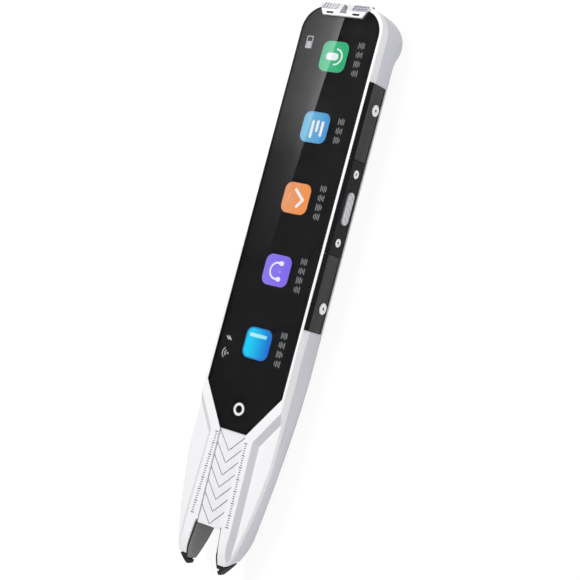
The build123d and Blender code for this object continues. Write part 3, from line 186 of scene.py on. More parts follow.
def add_ribs(tree, place, direction, pitch):
    wave = tree.nodes.new("ShaderNodeTexWave")
    wave.bands_direction = direction
    wave.inputs["Scale"].default_value = WAVE_PERIOD / (pitch * MM)
    tree.links.new(place, wave.inputs["Vector"])
    return wave.outputs["Fac"]


def round_edges(tree, rounding, wear_and_edge_shade):
    bend = tree.nodes.new("ShaderNodeBevel")
    bend.samples = 4
    bend.inputs["Radius"].default_value = rounding * MM
    flat = tree.nodes.new("ShaderNodeNewGeometry")
    match = tree.nodes.new("ShaderNodeVectorMath")
    match.operation = "DOT_PRODUCT"
    tree.links.new(bend.outputs["Normal"], match.inputs[0])
    tree.links.new(flat.outputs["Normal"], match.inputs[1])
    return bend.outputs["Normal"], remap(tree, match.outputs["Value"], FLAT_MATCH, EDGE_MATCH, 0.0, wear_and_edge_shade)


print("edge tools ready")

# %% The recipe for solid finishes
COAT_ROUGHNESS = 0.12
NOISE_LOW, NOISE_HIGH = 0.3, 0.7
DRIFT_DETAIL, GRAIN_DETAIL = 3, 4
RIB_SHARE = 0.85
GLOSS_SWING = 0.2
GRAIN_STRENGTH = 0.6


def solid_finish(name, colour, drift, edge, roughness, grain_size, grain_depth, rounding=0.2, metallic=0.0,
                 coat=0.0, stretch=(1, 1, 1), drift_size=22.0, wear_and_edge_shade=0.6, shine=0.5, speckle=0.0, ribs=None):
    finish, tree, shader = new_finish(name)
    nodes, links = tree.nodes, tree.links
    shader.inputs["Metallic"].default_value = metallic
    shader.inputs["Coat Weight"].default_value = coat
    shader.inputs["Coat Roughness"].default_value = COAT_ROUGHNESS
    shader.inputs["Specular IOR Level"].default_value = shine
    place = nodes.new("ShaderNodeTexCoord")
    spread = nodes.new("ShaderNodeMapping")
    spread.inputs["Scale"].default_value = stretch
    links.new(place.outputs["Object"], spread.inputs["Vector"])
    pattern = add_noise(tree, spread.outputs["Vector"], drift_size, DRIFT_DETAIL).outputs["Fac"]
    grain = add_noise(tree, spread.outputs["Vector"], grain_size, GRAIN_DETAIL).outputs["Fac"]
    if speckle:
        pattern = mix_values(tree, pattern, grain, speckle)
    if ribs:
        pattern = mix_values(tree, pattern, add_ribs(tree, spread.outputs["Vector"], *ribs), RIB_SHARE)
    ramp = nodes.new("ShaderNodeValToRGB")
    dark_stop, light_stop = ramp.color_ramp.elements
    dark_stop.position, dark_stop.color = NOISE_LOW, (*drift, 1)
    light_stop.position, light_stop.color = NOISE_HIGH, (*colour, 1)
    links.new(pattern, ramp.inputs["Fac"])
    # The edge tone is wear where it is lighter than the colour, and painted shade where it is darker.
    normal, worn_and_shaded = round_edges(tree, rounding, wear_and_edge_shade)
    tint = nodes.new("ShaderNodeMix")
    tint.data_type = "RGBA"
    tint.inputs["B"].default_value = (*edge, 1)
    links.new(worn_and_shaded, tint.inputs["Factor"])
    links.new(ramp.outputs["Color"], tint.inputs["A"])
    links.new(tint.outputs["Result"], shader.inputs["Base Color"])
    smooth, rough = roughness * (1 - GLOSS_SWING), min(1.0, roughness * (1 + GLOSS_SWING))
    links.new(remap(tree, grain, NOISE_LOW, NOISE_HIGH, smooth, rough), shader.inputs["Roughness"])
    relief = add_relief(tree, grain, grain_depth, GRAIN_STRENGTH)
    links.new(normal, relief.inputs["Normal"])
    links.new(relief.outputs["Normal"], shader.inputs["Normal"])
    return finish


print("recipe ready")

# %% [markdown]
# ## White front, silver back
# The front frame is a bright white satin moulding. The sides and the back are a cool silver grey with a
# fine metallic flake, which reads darker where they turn away from the light. Both get a slightly
# lighter, smoother edge. The flanks between the ridges of the nose and its outer facets are painted a
# shade greyer: this is painted shade, standing for the shade that these steep faces sit in. A copy of the
# nose could be cut apart for this, but a second material on faces picked by tilt and place leaves the
# solid as it is.

# %% Case finishes
white_case = solid_finish("satin white moulding", (0.905, 0.905, 0.925), (0.885, 0.885, 0.91),
                          (0.94, 0.94, 0.955), 0.36, 0.45, 0.006, coat=0.1)
silver_case = solid_finish("silver flake paint", (0.67, 0.67, 0.73), (0.56, 0.56, 0.61), (0.80, 0.80, 0.84),
                           0.42, 0.35, 0.010, rounding=0.3, metallic=0.12, coat=0.1, speckle=0.6)
cover_paint = solid_finish("soft silver cover", (0.66, 0.66, 0.71), (0.58, 0.58, 0.63), (0.78, 0.78, 0.82),
                           0.52, 0.40, 0.012, rounding=0.3, metallic=0.1, speckle=0.5)
# Painted shade: a greyer white for the steep flanks of the nose.
slope_in_painted_shade = solid_finish("nose slope in painted shade", (0.66, 0.66, 0.68), (0.62, 0.62, 0.64),
                           (0.90, 0.90, 0.91), 0.40, 0.45, 0.006, coat=0.1, rounding=0.15)
NOSE_START, SLOPE_START = -60 * MM, 8.5 * MM
SLOPE_TILT, UPWARD = (0.4, 0.7), 0.7


def is_nose_slope(face):
    tilted = SLOPE_TILT[0] < abs(face.normal.x) < SLOPE_TILT[1] and face.normal.z > UPWARD
    return tilted and face.center.y < NOSE_START and abs(face.center.x) > SLOPE_START


paint("rear_shell", silver_case)
paint("rear_cover", cover_paint)
print("nose slopes", repaint_where(paint("front_frame", white_case), slope_in_painted_shade, is_nose_slope), "faces")

# %% [markdown]
# ## Softened copies of the hard trim
# Small hard pieces show their quality at the edges: a thin round catches a line of light. The Bevel node
# of the recipe only fakes that, and the outline stays sharp, so the hard trim gets true rounds. A copy of
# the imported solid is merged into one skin, its flat faces are joined, and a Bevel modifier rounds what is
# left. This keeps the fit between pieces, because only the edge moves. The copy then stands for the
# solid.

# %% Make softened copies
MERGE_DISTANCE = 0.001 * MM
FLAT_ANGLE, SHARP_ANGLE, SMOOTH_ANGLE = math.radians(1), math.radians(28), math.radians(40)


def copy_solid(node, name):
    piece = bpy.data.objects.new(name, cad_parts[node].data.copy())
    bpy.context.collection.objects.link(piece)
    pick(piece)
    bpy.ops.mesh.customdata_custom_splitnormals_clear()
    bpy.ops.object.mode_set(mode="EDIT")
    bpy.ops.mesh.select_all(action="SELECT")
    bpy.ops.mesh.remove_doubles(threshold=MERGE_DISTANCE)
    bpy.ops.mesh.dissolve_limited(angle_limit=FLAT_ANGLE)
    bpy.ops.object.mode_set(mode="OBJECT")
    return piece


def soften(piece, width, segments=2):
    edge = piece.modifiers.new("edge", "BEVEL")
    edge.width, edge.segments = width * MM, segments
    edge.limit_method, edge.angle_limit = "ANGLE", SHARP_ANGLE
    apply_modifiers(piece)
    pick(piece)
    bpy.ops.object.shade_smooth_by_angle(angle=SMOOTH_ANGLE)
    even = piece.modifiers.new("even", "WEIGHTED_NORMAL")
    even.keep_sharp = True
    apply_modifiers(piece)
    return piece


def soft_copy(node, width, segments=2):
    return soften(copy_solid(node, f"{node}_softened"), width, segments)


print("softening tools ready")

# %% [markdown]
# ## Black rails and key panel
# Two smooth slabs and a key panel between them are let into the right side. The slabs are satin black
# with faint lengthwise streaks from polishing. A picture of brushed plastic could give them, but noise
# stretched along Y needs no file and has no seam. The key panel has a finer, deeper grain. All that turns
# away from the flat outer face, such as a rounded edge, gets a deeper black: this is painted shade, and so
# is the darker edge tone of the slab finish.

# %% Rails
rail_black = solid_finish("streaked black slab", (0.040, 0.040, 0.042), (0.016, 0.016, 0.018),
                          (0.004, 0.004, 0.004), 0.42, 0.6, 0.006, stretch=(1, 0.06, 1), drift_size=4,
                          wear_and_edge_shade=0.9, shine=0.2, rounding=0.6)
panel_black = solid_finish("grained black panel", (0.020, 0.020, 0.022), (0.002, 0.002, 0.003),
                           (0.003, 0.003, 0.003), 0.55, 0.22, 0.03, drift_size=0.8, shine=0.12,
                           rounding=0.35, speckle=0.5)
slab_edge_shade = solid_finish("painted shade on the slab edges", (0.006, 0.006, 0.007), (0.004, 0.004, 0.005),
                           (0.010, 0.010, 0.011), 0.6, 0.3, 0.004, rounding=0.1, drift_size=2, shine=0.1)
FLAT_ENOUGH = 0.98
slab_edges = {"side_rail_upper": (0.3, rail_black), "side_rail_lower": (0.3, rail_black),
              "key_panel": (0.22, panel_black)}
for node, (width, finish) in slab_edges.items():
    slab = dress(soft_copy(node, width), finish, "case", "black_rail", node)
    # Painted shade: faces that turn away from the flat outer face get a deeper black.
    repaint_where(slab.data, slab_edge_shade, lambda face: abs(face.normal.x) < FLAT_ENOUGH)

# %% [markdown]
# ## Power button and ring washers
# The button is a silver-grey pill with slanted grip grooves. They are cut in the solid, because a bump in
# the finish would leave its rim straight. It rides on its own body, so it moves when pressed. The four
# washers are glossy white rings with the dull end of a screw in each. The screw ends in the washers on the
# slabs are painted near black, as painted shade deep in their holes.

# %% Button, washers and their screws
button_silver = solid_finish("satin silver button", (0.66, 0.66, 0.69), (0.58, 0.58, 0.61),
                             (0.30, 0.30, 0.31), 0.36, 0.3, 0.01, metallic=0.2, rounding=0.16,
                             drift_size=3, wear_and_edge_shade=0.9)
ring_white = solid_finish("gloss white ring", (0.95, 0.95, 0.96), (0.92, 0.92, 0.93), (0.97, 0.97, 0.97),
                          0.2, 0.5, 0.003, coat=0.3, rounding=0.08)
# Painted shade: the slab screws are near black to stand for the shade in their holes.
screw_in_painted_shade = solid_finish("screw end in painted shade", (0.045, 0.045, 0.048), (0.025, 0.025, 0.027), (0.08, 0.08, 0.085),
                          0.5, 0.12, 0.01, rounding=0.08, drift_size=1, shine=0.2)
screw_grey = solid_finish("dull screw end", (0.22, 0.22, 0.23), (0.16, 0.16, 0.17), (0.36, 0.36, 0.37),
                          0.45, 0.12, 0.01, metallic=0.3, rounding=0.08, drift_size=1)
BUTTON_EDGE, RING_EDGE = 0.05, 0.06
button = dress(soft_copy("power_button", BUTTON_EDGE), button_silver, "power_button", "button_metal",
               "power_button")
for node in ("slab_rings", "panel_rings"):
    dress(soft_copy(node, RING_EDGE), ring_white, "case", "white_trim", node)
paint("slab_screws", screw_in_painted_shade)
for node in ("panel_screws", "case_screws", "board_screws"):
    paint(node, screw_grey)
print("moving piece", button.name)

# %% [markdown]
# ## Microphone bar
# A white bracket laps over the top edge. Two sound slots pass through it, and two ribbed pads lie on its
# slope, on either side of a small pointed wedge. The ribs are so fine that their shade is painted as a
# darker wave in the colour. The pads are one imported node: the faces right of the middle line get the
# second of its two materials, which is darker as painted shade, because that pad lies further from the
# light. The right end of the bar and the walls of its slots get their own materials in the same way: a
# grey and a black of painted shade.

# %% Bar, pads and wedge
bar_white = solid_finish("bright white bracket", (0.84, 0.84, 0.87), (0.80, 0.80, 0.83), (0.95, 0.95, 0.96),
                         0.28, 0.4, 0.004, coat=0.2, rounding=0.12)
# Painted shade: the ribs show as darker stripes in the colour.
pad_pale = solid_finish("pale ribbed pad", (0.93, 0.93, 0.95), (0.50, 0.50, 0.53), (0.80, 0.80, 0.83),
                        0.5, 0.15, 0.012, rounding=0.06, drift_size=2, ribs=("X", 1.1))
pad_in_painted_shade = solid_finish("ribbed pad in painted shade", (0.62, 0.61, 0.68), (0.33, 0.325, 0.37), (0.66, 0.66, 0.72),
                        0.5, 0.15, 0.012, rounding=0.06, drift_size=2, ribs=("Y", 0.9))
wedge_grey = solid_finish("dark wedge", (0.20, 0.20, 0.21), (0.16, 0.16, 0.17), (0.36, 0.36, 0.37),
                          0.42, 0.15, 0.008, rounding=0.06, drift_size=2)
bar_end_shade = solid_finish("painted shade on the bar end", (0.26, 0.26, 0.27), (0.20, 0.20, 0.21), (0.5, 0.5, 0.51),
                        0.42, 0.15, 0.008, rounding=0.08, drift_size=2)
slot_shade = solid_finish("painted shade inside the sound slots", (0.02, 0.02, 0.021), (0.015, 0.015, 0.016),
                          (0.05, 0.05, 0.05), 0.6, 0.15, 0.004, rounding=0.05, drift_size=2)
BAR_EDGE, PAD_EDGE, WEDGE_EDGE = 0.08, 0.04, 0.05
SLOT_X, SLOT_Y = (3.5, 6.1), (56.35, 56.95)
FACING_RIGHT, LEVEL = 0.8, 0.5


def is_slot_wall(face):
    across, along = abs(face.center.x) / MM, face.center.y / MM
    inside = SLOT_X[0] < across < SLOT_X[1] and SLOT_Y[0] < along < SLOT_Y[1]
    return inside and abs(face.normal.z) < LEVEL


bar = dress(soft_copy("mic_bar", BAR_EDGE), bar_white, "case", "white_trim", "mic_bar")
# Painted shade: the right end of the bar is grey and the slot walls are black.
repaint_where(bar.data, bar_end_shade, lambda face: face.normal.x > FACING_RIGHT)
repaint_where(bar.data, slot_shade, is_slot_wall)
pads = dress(soft_copy("mic_pads", PAD_EDGE), pad_pale, "case", "grey_trim", "mic_pads")
# Painted shade: the right pad is darker.
repaint_where(pads.data, pad_in_painted_shade, lambda face: face.center.x > 0)
dress(soft_copy("bar_wedge", WEDGE_EDGE), wedge_grey, "case", "grey_trim", "bar_wedge")

# %% [markdown]
# ## Nose: chevrons, smoked liner and rubber feet
# The chevron panel is the same white as the frame, with fine V grooves. Lines of grey could be drawn over
# a flat panel, but the grooves are real cuts, so their slanting walls are found by their normals and
# painted grey as the shade in the grooves. The panel's edges get a darker edge tone, painted shade where
# it sits in its recess. The liner of the scanning bay is smoked plastic, grey on its cheeks; its edges are
# darker and its upper rim is black, both painted shade of the gap around it. The feet are matt rubber.

# %% Chevron panel, liner and feet
chevron_white = solid_finish("white chevron panel", (0.86, 0.86, 0.885), (0.84, 0.84, 0.865),
                             (0.62, 0.62, 0.65), 0.36, 0.45, 0.005, coat=0.1, rounding=0.1, wear_and_edge_shade=0.8)
# Painted shade: the groove walls are grey and the panel's edge tone is darker.
groove_shade = solid_finish("painted shade on the groove walls", (0.48, 0.48, 0.50), (0.44, 0.44, 0.46), (0.50, 0.50, 0.52),
                           0.5, 0.3, 0.004, rounding=0.05, drift_size=2)
smoked_grey = solid_finish("smoked liner", (0.21, 0.215, 0.21), (0.16, 0.165, 0.16), (0.02, 0.02, 0.02),
                           0.25, 0.5, 0.004, coat=0.2, rounding=0.35, wear_and_edge_shade=0.95)
# Painted shade: the liner's edges and upper rim are dark as the shade of the gap around it.
liner_rim_shade = solid_finish("painted shade on the rim of the liner", (0.012, 0.012, 0.013), (0.008, 0.008, 0.009),
                          (0.03, 0.03, 0.03), 0.4, 0.5, 0.004, rounding=0.1, shine=0.3)
foot_rubber = solid_finish("matt black rubber", (0.012, 0.012, 0.013), (0.008, 0.008, 0.009),
                           (0.028, 0.028, 0.03), 0.66, 0.18, 0.02, rounding=0.3, drift_size=3, shine=0.3)
LINER_EDGE, FOOT_EDGE, FOOT_STEPS = 0.08, 0.15, 3
WALL_ACROSS, WALL_ALONG = (0.5, 0.9), 0.5


def is_groove_wall(face):
    return WALL_ACROSS[0] < abs(face.normal.x) < WALL_ACROSS[1] and abs(face.normal.y) > WALL_ALONG


repaint_where(paint("chevron_panel", chevron_white), groove_shade, is_groove_wall)
liner = dress(soft_copy("bay_liner", LINER_EDGE), smoked_grey, "case", "smoked_liner", "bay_liner")
repaint_where(liner.data, liner_rim_shade, lambda face: face.normal.z > LEVEL)
dress(soft_copy("scan_foot", FOOT_EDGE, FOOT_STEPS), foot_rubber, "scan_foot", "black_rubber", "scan_foot")
dress(soft_copy("fixed_foot", FOOT_EDGE, FOOT_STEPS), foot_rubber, "case", "black_rubber", "fixed_foot")

# %% [markdown]
# ## Cover glass
# The glass is a clear slab with a small round at its rim. One glossy black plate could stand for glass
# and screen together, but then the marks would lie on top of the glass. Here its bottom face is raised by
# a tenth of a millimetre, which leaves room under it for the ink and for the lit marks. Faint smears vary
# the roughness, as fingers do. The rim is blackened, as on real cover glasses, so that no stray light
# enters from the side.

# %% The recipe for clear finishes
SMEAR_SIZE, SMEAR_DETAIL, SMEAR_LOW, SMEAR_HIGH = 9, 5, 0.5, 0.75
GLASS_BENDING, SMEAR_STRENGTH, SMEAR_TWIST = 1.5, 0.2, 0.6


def clear_finish(name, tint, smear, bump):
    finish, tree, shader = new_finish(name)
    shader.inputs["Base Color"].default_value = (*tint, 1)
    shader.inputs["Transmission Weight"].default_value = 1.0
    shader.inputs["IOR"].default_value = GLASS_BENDING
    place = tree.nodes.new("ShaderNodeTexCoord")
    smears = add_noise(tree, place.outputs["Object"], SMEAR_SIZE, SMEAR_DETAIL)
    smears.inputs["Distortion"].default_value = SMEAR_TWIST
    haze = remap(tree, smears.outputs["Fac"], SMEAR_LOW, SMEAR_HIGH, 0.0, smear)
    relief = add_relief(tree, smears.outputs["Fac"], bump, SMEAR_STRENGTH)
    tree.links.new(haze, shader.inputs["Roughness"])
    tree.links.new(relief.outputs["Normal"], shader.inputs["Normal"])
    return finish


print("clear finishes ready")

# %% Clear slab
GLASS_GAP, GLASS_EDGE, GLASS_STEPS = 0.1, 0.12, 3
SAME_HEIGHT = 0.02


def edit_points(piece, wanted):
    pick(piece)
    for part in (*piece.data.polygons, *piece.data.edges):
        part.select = False
    for vertex in piece.data.vertices:
        vertex.select = bool(wanted(vertex.co))
    bpy.ops.object.mode_set(mode="EDIT")
    bpy.ops.mesh.select_mode(type="VERT")


def lift_where(piece, height, lift):
    edit_points(piece, lambda point: abs(point.z - height * MM) < SAME_HEIGHT * MM)
    bpy.ops.transform.translate(value=(0, 0, lift * MM))
    bpy.ops.object.mode_set(mode="OBJECT")


glass_low, glass_high = (v.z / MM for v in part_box("front_glass"))
glass_clear = clear_finish("clear cover glass", (0.97, 0.975, 0.98), 0.02, 0.0005)
glass = copy_solid("front_glass", "cover_glass")
lift_where(glass, glass_low, GLASS_GAP)
dress(soften(glass, GLASS_EDGE, GLASS_STEPS), glass_clear, "case", "cover_glass", "front_glass")
rim_black = solid_finish("blackened rim of the glass", (0.010, 0.010, 0.011), (0.007, 0.007, 0.008),
                         (0.016, 0.016, 0.017), 0.45, 0.3, 0.002, rounding=0.1, shine=0.2)
repaint_where(glass.data, rim_black, lambda face: abs(face.normal.z) < FLAT_ENOUGH)
print("glass from", round(glass_low + GLASS_GAP, 2), "to", round(glass_high, 2), "mm")

# %% [markdown]
# ## Black ink
# Behind a cover glass the rim and the display look like one black sheet. A thin plate with the same
# outline lies under the glass: it is the glass's own copy, with its top brought down until it is three
# hundredths of a millimetre thick.

# %% Ink plate
INK_TOP = glass_low + 0.03
ink_black = solid_finish("black screen ink", (0.012, 0.012, 0.0125), (0.010, 0.010, 0.0105),
                         (0.011, 0.011, 0.012), 0.5, 0.3, 0.001, drift_size=12, wear_and_edge_shade=0.0, shine=0.1)
ink = copy_solid("front_glass", "ink_plate")
lift_where(ink, glass_high, INK_TOP - glass_high)
dress(ink, ink_black, "case", "black_screen")
print("ink plate", len(ink.data.polygons), "faces")

# %% [markdown]
# ## Flat marks
# All the marks on the screen are flat shapes a hundredth of a millimetre thick: rounded bars, discs and
# arcs. One picture on a plane could show them too, but shapes stay sharp from any distance. Each starts
# as a plane or a circle, gets its corners or its inner edge in edit mode, and its thickness by Solidify.
# Its place is then written into its mesh, because a finished object has to sit at the origin.

# %% Thickness and place of a mark
TILE_LOW, TILE_HIGH = INK_TOP + 0.01, INK_TOP + 0.025
MARK_LOW, MARK_HIGH = INK_TOP + 0.03, INK_TOP + 0.042


def thicken(piece, low, high):
    if piece.data.polygons[0].normal.z < 0:
        pick(piece)
        bpy.ops.object.mode_set(mode="EDIT")
        bpy.ops.mesh.select_all(action="SELECT")
        bpy.ops.mesh.flip_normals()
        bpy.ops.object.mode_set(mode="OBJECT")
    plate = piece.modifiers.new("thickness", "SOLIDIFY")
    plate.thickness, plate.offset = (high - low) * MM, 1


def settle(piece, name):
    apply_modifiers(piece)
    bpy.ops.object.transform_apply(location=True, rotation=True, scale=True)
    piece.name = name
    piece.data.name = name
    return piece


print("marks between", round(TILE_LOW, 3), "and", round(MARK_HIGH, 3), "mm")

# %% Rounded bars
CORNER_STEPS = 5


def bar_mark(name, x, y, width, length, corner, low=MARK_LOW, high=MARK_HIGH, turn=0.0):
    clear_selection()
    place = (x * MM, y * MM, low * MM)
    bpy.ops.mesh.primitive_plane_add(size=1, location=place, rotation=(0, 0, math.radians(turn)))
    piece = bpy.context.object
    piece.scale = (width * MM, length * MM, 1)
    bpy.ops.object.transform_apply(location=False, rotation=False, scale=True)
    bpy.ops.object.mode_set(mode="EDIT")
    bpy.ops.mesh.select_all(action="SELECT")
    bpy.ops.mesh.bevel(offset=corner * MM, segments=CORNER_STEPS, affect="VERTICES")
    bpy.ops.object.mode_set(mode="OBJECT")
    thicken(piece, low, high)
    return settle(piece, name)


print("bars ready")

# %% Discs and arcs
DISC_STEPS, ARC_STEPS = 32, 72
ANGLE_SLACK = 0.01


def disc_mark(name, x, y, radius):
    clear_selection()
    place = (x * MM, y * MM, MARK_LOW * MM)
    bpy.ops.mesh.primitive_circle_add(vertices=DISC_STEPS, radius=radius * MM, fill_type="NGON",
                                      location=place)
    piece = bpy.context.object
    thicken(piece, MARK_LOW, MARK_HIGH)
    return settle(piece, name)


def arc_mark(name, x, y, outer, inner, start, end):
    clear_selection()
    place = (x * MM, y * MM, MARK_LOW * MM)
    bpy.ops.mesh.primitive_circle_add(vertices=ARC_STEPS, radius=outer * MM, fill_type="NOTHING",
                                      location=place)
    piece = bpy.context.object
    bpy.ops.object.mode_set(mode="EDIT")
    bpy.ops.mesh.select_all(action="SELECT")
    bpy.ops.mesh.extrude_region_move()
    share = inner / outer
    bpy.ops.transform.resize(value=(share, share, share), center_override=place)
    bpy.ops.object.mode_set(mode="OBJECT")
    first, span = start - ANGLE_SLACK, end - start + ANGLE_SLACK * 2
    edit_points(piece, lambda point: (math.degrees(math.atan2(point.y, point.x)) - first) % 360 > span)
    bpy.ops.mesh.delete(type="VERT")
    bpy.ops.object.mode_set(mode="OBJECT")
    thicken(piece, MARK_LOW, MARK_HIGH)
    return settle(piece, name)


print("discs and arcs ready")

# %% [markdown]
# ## Light of the screen
# A lit pixel keeps its colour in any light, so the marks use emission. Each tile of the screen runs from
# one tone to another across the pen, and its rim is a little paler. The strength stays at one, so that
# the tone renders as it is written. A tone is given in the steps of 0 to 255 that screens use, and turned
# into the linear values that nodes take.

# %% Lit finishes
SCREEN_SPAN = (-14, 14)


def tone(*steps):
    shares = [step / 255 for step in steps]
    return tuple(((share + 0.055) / 1.055) ** 2.4 for share in shares)


def lit_finish(name, left_tone, right_tone, span=SCREEN_SPAN):
    finish, tree, shader = new_finish(name)
    shader.inputs["Base Color"].default_value = (0.01, 0.01, 0.01, 1)
    shader.inputs["Roughness"].default_value = 0.4
    shader.inputs["Specular IOR Level"].default_value = 0.1
    shader.inputs["Emission Strength"].default_value = 1.0
    place = tree.nodes.new("ShaderNodeTexCoord")
    parts = tree.nodes.new("ShaderNodeSeparateXYZ")
    blend = tree.nodes.new("ShaderNodeValToRGB")
    blend.color_ramp.elements[0].color = (*left_tone, 1)
    blend.color_ramp.elements[1].color = (*right_tone, 1)
    tree.links.new(place.outputs["Object"], parts.inputs["Vector"])
    share = remap(tree, parts.outputs["X"], span[0] * MM, span[1] * MM)
    tree.links.new(share, blend.inputs["Fac"])
    tree.links.new(blend.outputs["Color"], shader.inputs["Emission Color"])
    return finish


white_light = lit_finish("white screen light", tone(240, 240, 245), tone(250, 250, 255))
grey_light = lit_finish("grey screen light", tone(156, 156, 160), tone(136, 138, 140))
print("lit finishes ready")

# %% [markdown]
# ## Tiles
# Five square tiles with round corners stand in a row along the screen. They open speech, words, a list,
# listening and a book. A tile could be one plate with its border drawn in its finish, but a smaller plate
# over a wider one gives a crisp, even rim.

# %% Tiles
TILE_SIZE, TILE_CORNER, RIM = 9.5, 2.3, 0.45
RIM_SPAN, TILE_SPAN = (-6, 6), (-2.5, 4.2)
INNER_SIZE, INNER_CORNER = TILE_SIZE - RIM * 2, TILE_CORNER - RIM
RIM_TOP, INNER_LOW = TILE_LOW + 0.008, TILE_LOW + 0.009
tile_tones = {
    "speech": (43.5, tone(70, 190, 138), tone(42, 182, 118), tone(96, 186, 150)),
    "words": (21.4, tone(112, 190, 226), tone(76, 156, 220), tone(124, 178, 212)),
    "list": (-0.7, tone(244, 160, 108), tone(252, 154, 78), tone(232, 160, 122)),
    "listening": (-23.1, tone(142, 122, 246), tone(136, 108, 246), tone(146, 130, 228)),
    "book": (-45.8, tone(24, 212, 252), tone(24, 112, 220), tone(52, 150, 215)),
}
for use, (y, left_tone, right_tone, rim_tone) in tile_tones.items():
    rim = bar_mark(f"{use}_rim", 0, y, TILE_SIZE, TILE_SIZE, TILE_CORNER, TILE_LOW, RIM_TOP)
    dress(rim, lit_finish(f"{use} rim light", rim_tone, right_tone, RIM_SPAN), "case", "black_screen")
    tile = bar_mark(f"{use}_tile", 0, y, INNER_SIZE, INNER_SIZE, INNER_CORNER, INNER_LOW, TILE_HIGH)
    dress(tile, lit_finish(f"{use} tile light", left_tone, right_tone, TILE_SPAN), "case", "black_screen")
print("tiles at", [y for y, *_ in tile_tones.values()])

# %% [markdown]
# ## Signs
# The screen is read with the pen lying across the page, so each sign stands with its top to the left edge
# of the pen. A curve with a round profile could draw a stroke, but a short bar with a turn stays flat
# like the rest: the turn is worked out from the stroke's two ends.

# %% Strokes, and joined shapes
STROKE_ROUND = 0.45


def join(name, parts):
    pick(parts[0])
    for part in parts:
        part.select_set(True)
    bpy.ops.object.join()
    piece = bpy.context.object
    piece.name = name
    piece.data.name = name
    return piece


def stroke_mark(name, start, end, width):
    run_x, run_y = end[0] - start[0], end[1] - start[1]
    turn = math.degrees(math.atan2(-run_x, run_y))
    length = math.hypot(run_x, run_y) + width
    middle_x, middle_y = (start[0] + end[0]) / 2, (start[1] + end[1]) / 2
    return bar_mark(name, middle_x, middle_y, width, length, width * STROKE_ROUND, turn=turn)


print("strokes ready")

# %% Signs of speech, words and the list
SIGN_LINE, SIGN_CORNER = 0.95, 0.42
speech_y, words_y, list_y, listening_y, book_y = [y for y, *_ in tile_tones.values()]
speech_sign = join("speech_sign", [
    bar_mark("capsule", -0.6, speech_y, 4.5, 2.3, 1.12),
    arc_mark("cradle", 0.5, speech_y, 2.65, 2.15, -90, 90),
])
words_sign = join("words_sign", [
    bar_mark("long word", -1.0, words_y - 0.6, SIGN_LINE, 5.6, SIGN_CORNER),
    bar_mark("short word", 0.75, words_y + 0.5, SIGN_LINE, 3.6, SIGN_CORNER),
    bar_mark("middle word", 2.5, words_y - 0.2, SIGN_LINE, 4.8, SIGN_CORNER),
])
tick_corner = (2.5, list_y - 0.2)
list_sign = join("list_sign", [
    stroke_mark("tick long", (-0.7, list_y + 2.6), tick_corner, SIGN_LINE),
    stroke_mark("tick short", tick_corner, (0.9, list_y - 2.4), SIGN_LINE),
])
list_rows = join("list_rows", [
    bar_mark("row one", -2.7, list_y + 0.1, 0.5, 3.0, 0.2),
    bar_mark("row two", -1.5, list_y - 0.9, 0.4, 1.6, 0.18),
])
print("signs", speech_sign.name, words_sign.name, list_sign.name, list_rows.name)

# %% Signs of listening and the book
ARM_LINE, CUP_WIDTH, CUP_LENGTH, CUP_CORNER = 0.55, 1.7, 1.4, 0.62
listening_sign = join("listening_sign", [
    arc_mark("band", 0.1, listening_y - 0.1, 2.75, 2.2, 90, 270),
    stroke_mark("far arm", (0.1, listening_y + 2.35), (1.1, listening_y + 2.35), ARM_LINE),
    stroke_mark("near arm", (0.1, listening_y - 2.55), (1.1, listening_y - 2.55), ARM_LINE),
    bar_mark("far cup", 1.1, listening_y + 2.3, CUP_WIDTH, CUP_LENGTH, CUP_CORNER),
    bar_mark("near cup", 1.2, listening_y - 2.5, CUP_WIDTH, CUP_LENGTH, CUP_CORNER),
])
listening_dot = disc_mark("listening_dot", 1.1, listening_y - 0.25, 0.55)
book_sign = bar_mark("book_sign", -0.25, book_y + 2.35, 6.3, 1.1, 0.3)
print("signs", listening_sign.name, listening_dot.name, book_sign.name)

# %% Light up the signs
SPINE_SPAN = (-3, 3)
row_light = lit_finish("faint row light", tone(250, 182, 140), tone(246, 172, 128))
dot_light = lit_finish("faint dot light", tone(168, 144, 255), tone(160, 135, 250))
spine_light = lit_finish("spine light", tone(200, 250, 255), tone(150, 235, 255), SPINE_SPAN)
signs = {speech_sign: white_light, words_sign: white_light, list_sign: white_light, list_rows: row_light,
         listening_sign: white_light, listening_dot: dot_light, book_sign: spine_light}
for sign, light in signs.items():
    dress(sign, light, "case", "black_screen")
print("lit signs", len(signs))

# %% [markdown]
# ## Captions and status marks
# Each tile has a caption beside it. Small stacks of dashes stand for it here, so that nothing can be
# read. Near the left edge of the screen are a battery gauge, a bolt and a signal fan, and a plain ring
# marks the way home.

# %% Captions
CAPTION_X, CAPTION_PITCH = 8.85, 2.85
DASH_STEPS, DASH_WIDTH, DASH_CORNER = (-0.9, -0.3, 0.3, 0.9), 0.32, 0.14
mark_counts = {"speech": 4, "words": 3, "list": 4, "listening": 4, "book": 4}
dash_lengths = [(2.0, 1.4, 2.1, 1.7), (1.5, 2.1, 1.2, 1.9), (2.1, 1.8, 2.1, 1.3), (1.3, 2.0, 1.6, 2.1)]
for use, count in mark_counts.items():
    dashes = []
    for place in range(count):
        middle = tile_tones[use][0] + ((count - 1) / 2 - place) * CAPTION_PITCH
        for step, length in zip(DASH_STEPS, dash_lengths[place]):
            dashes.append(bar_mark("dash", CAPTION_X + step, middle, DASH_WIDTH, length, DASH_CORNER))
    dress(join(f"{use}_caption", dashes), grey_light, "case", "black_screen")
print("captions", mark_counts)

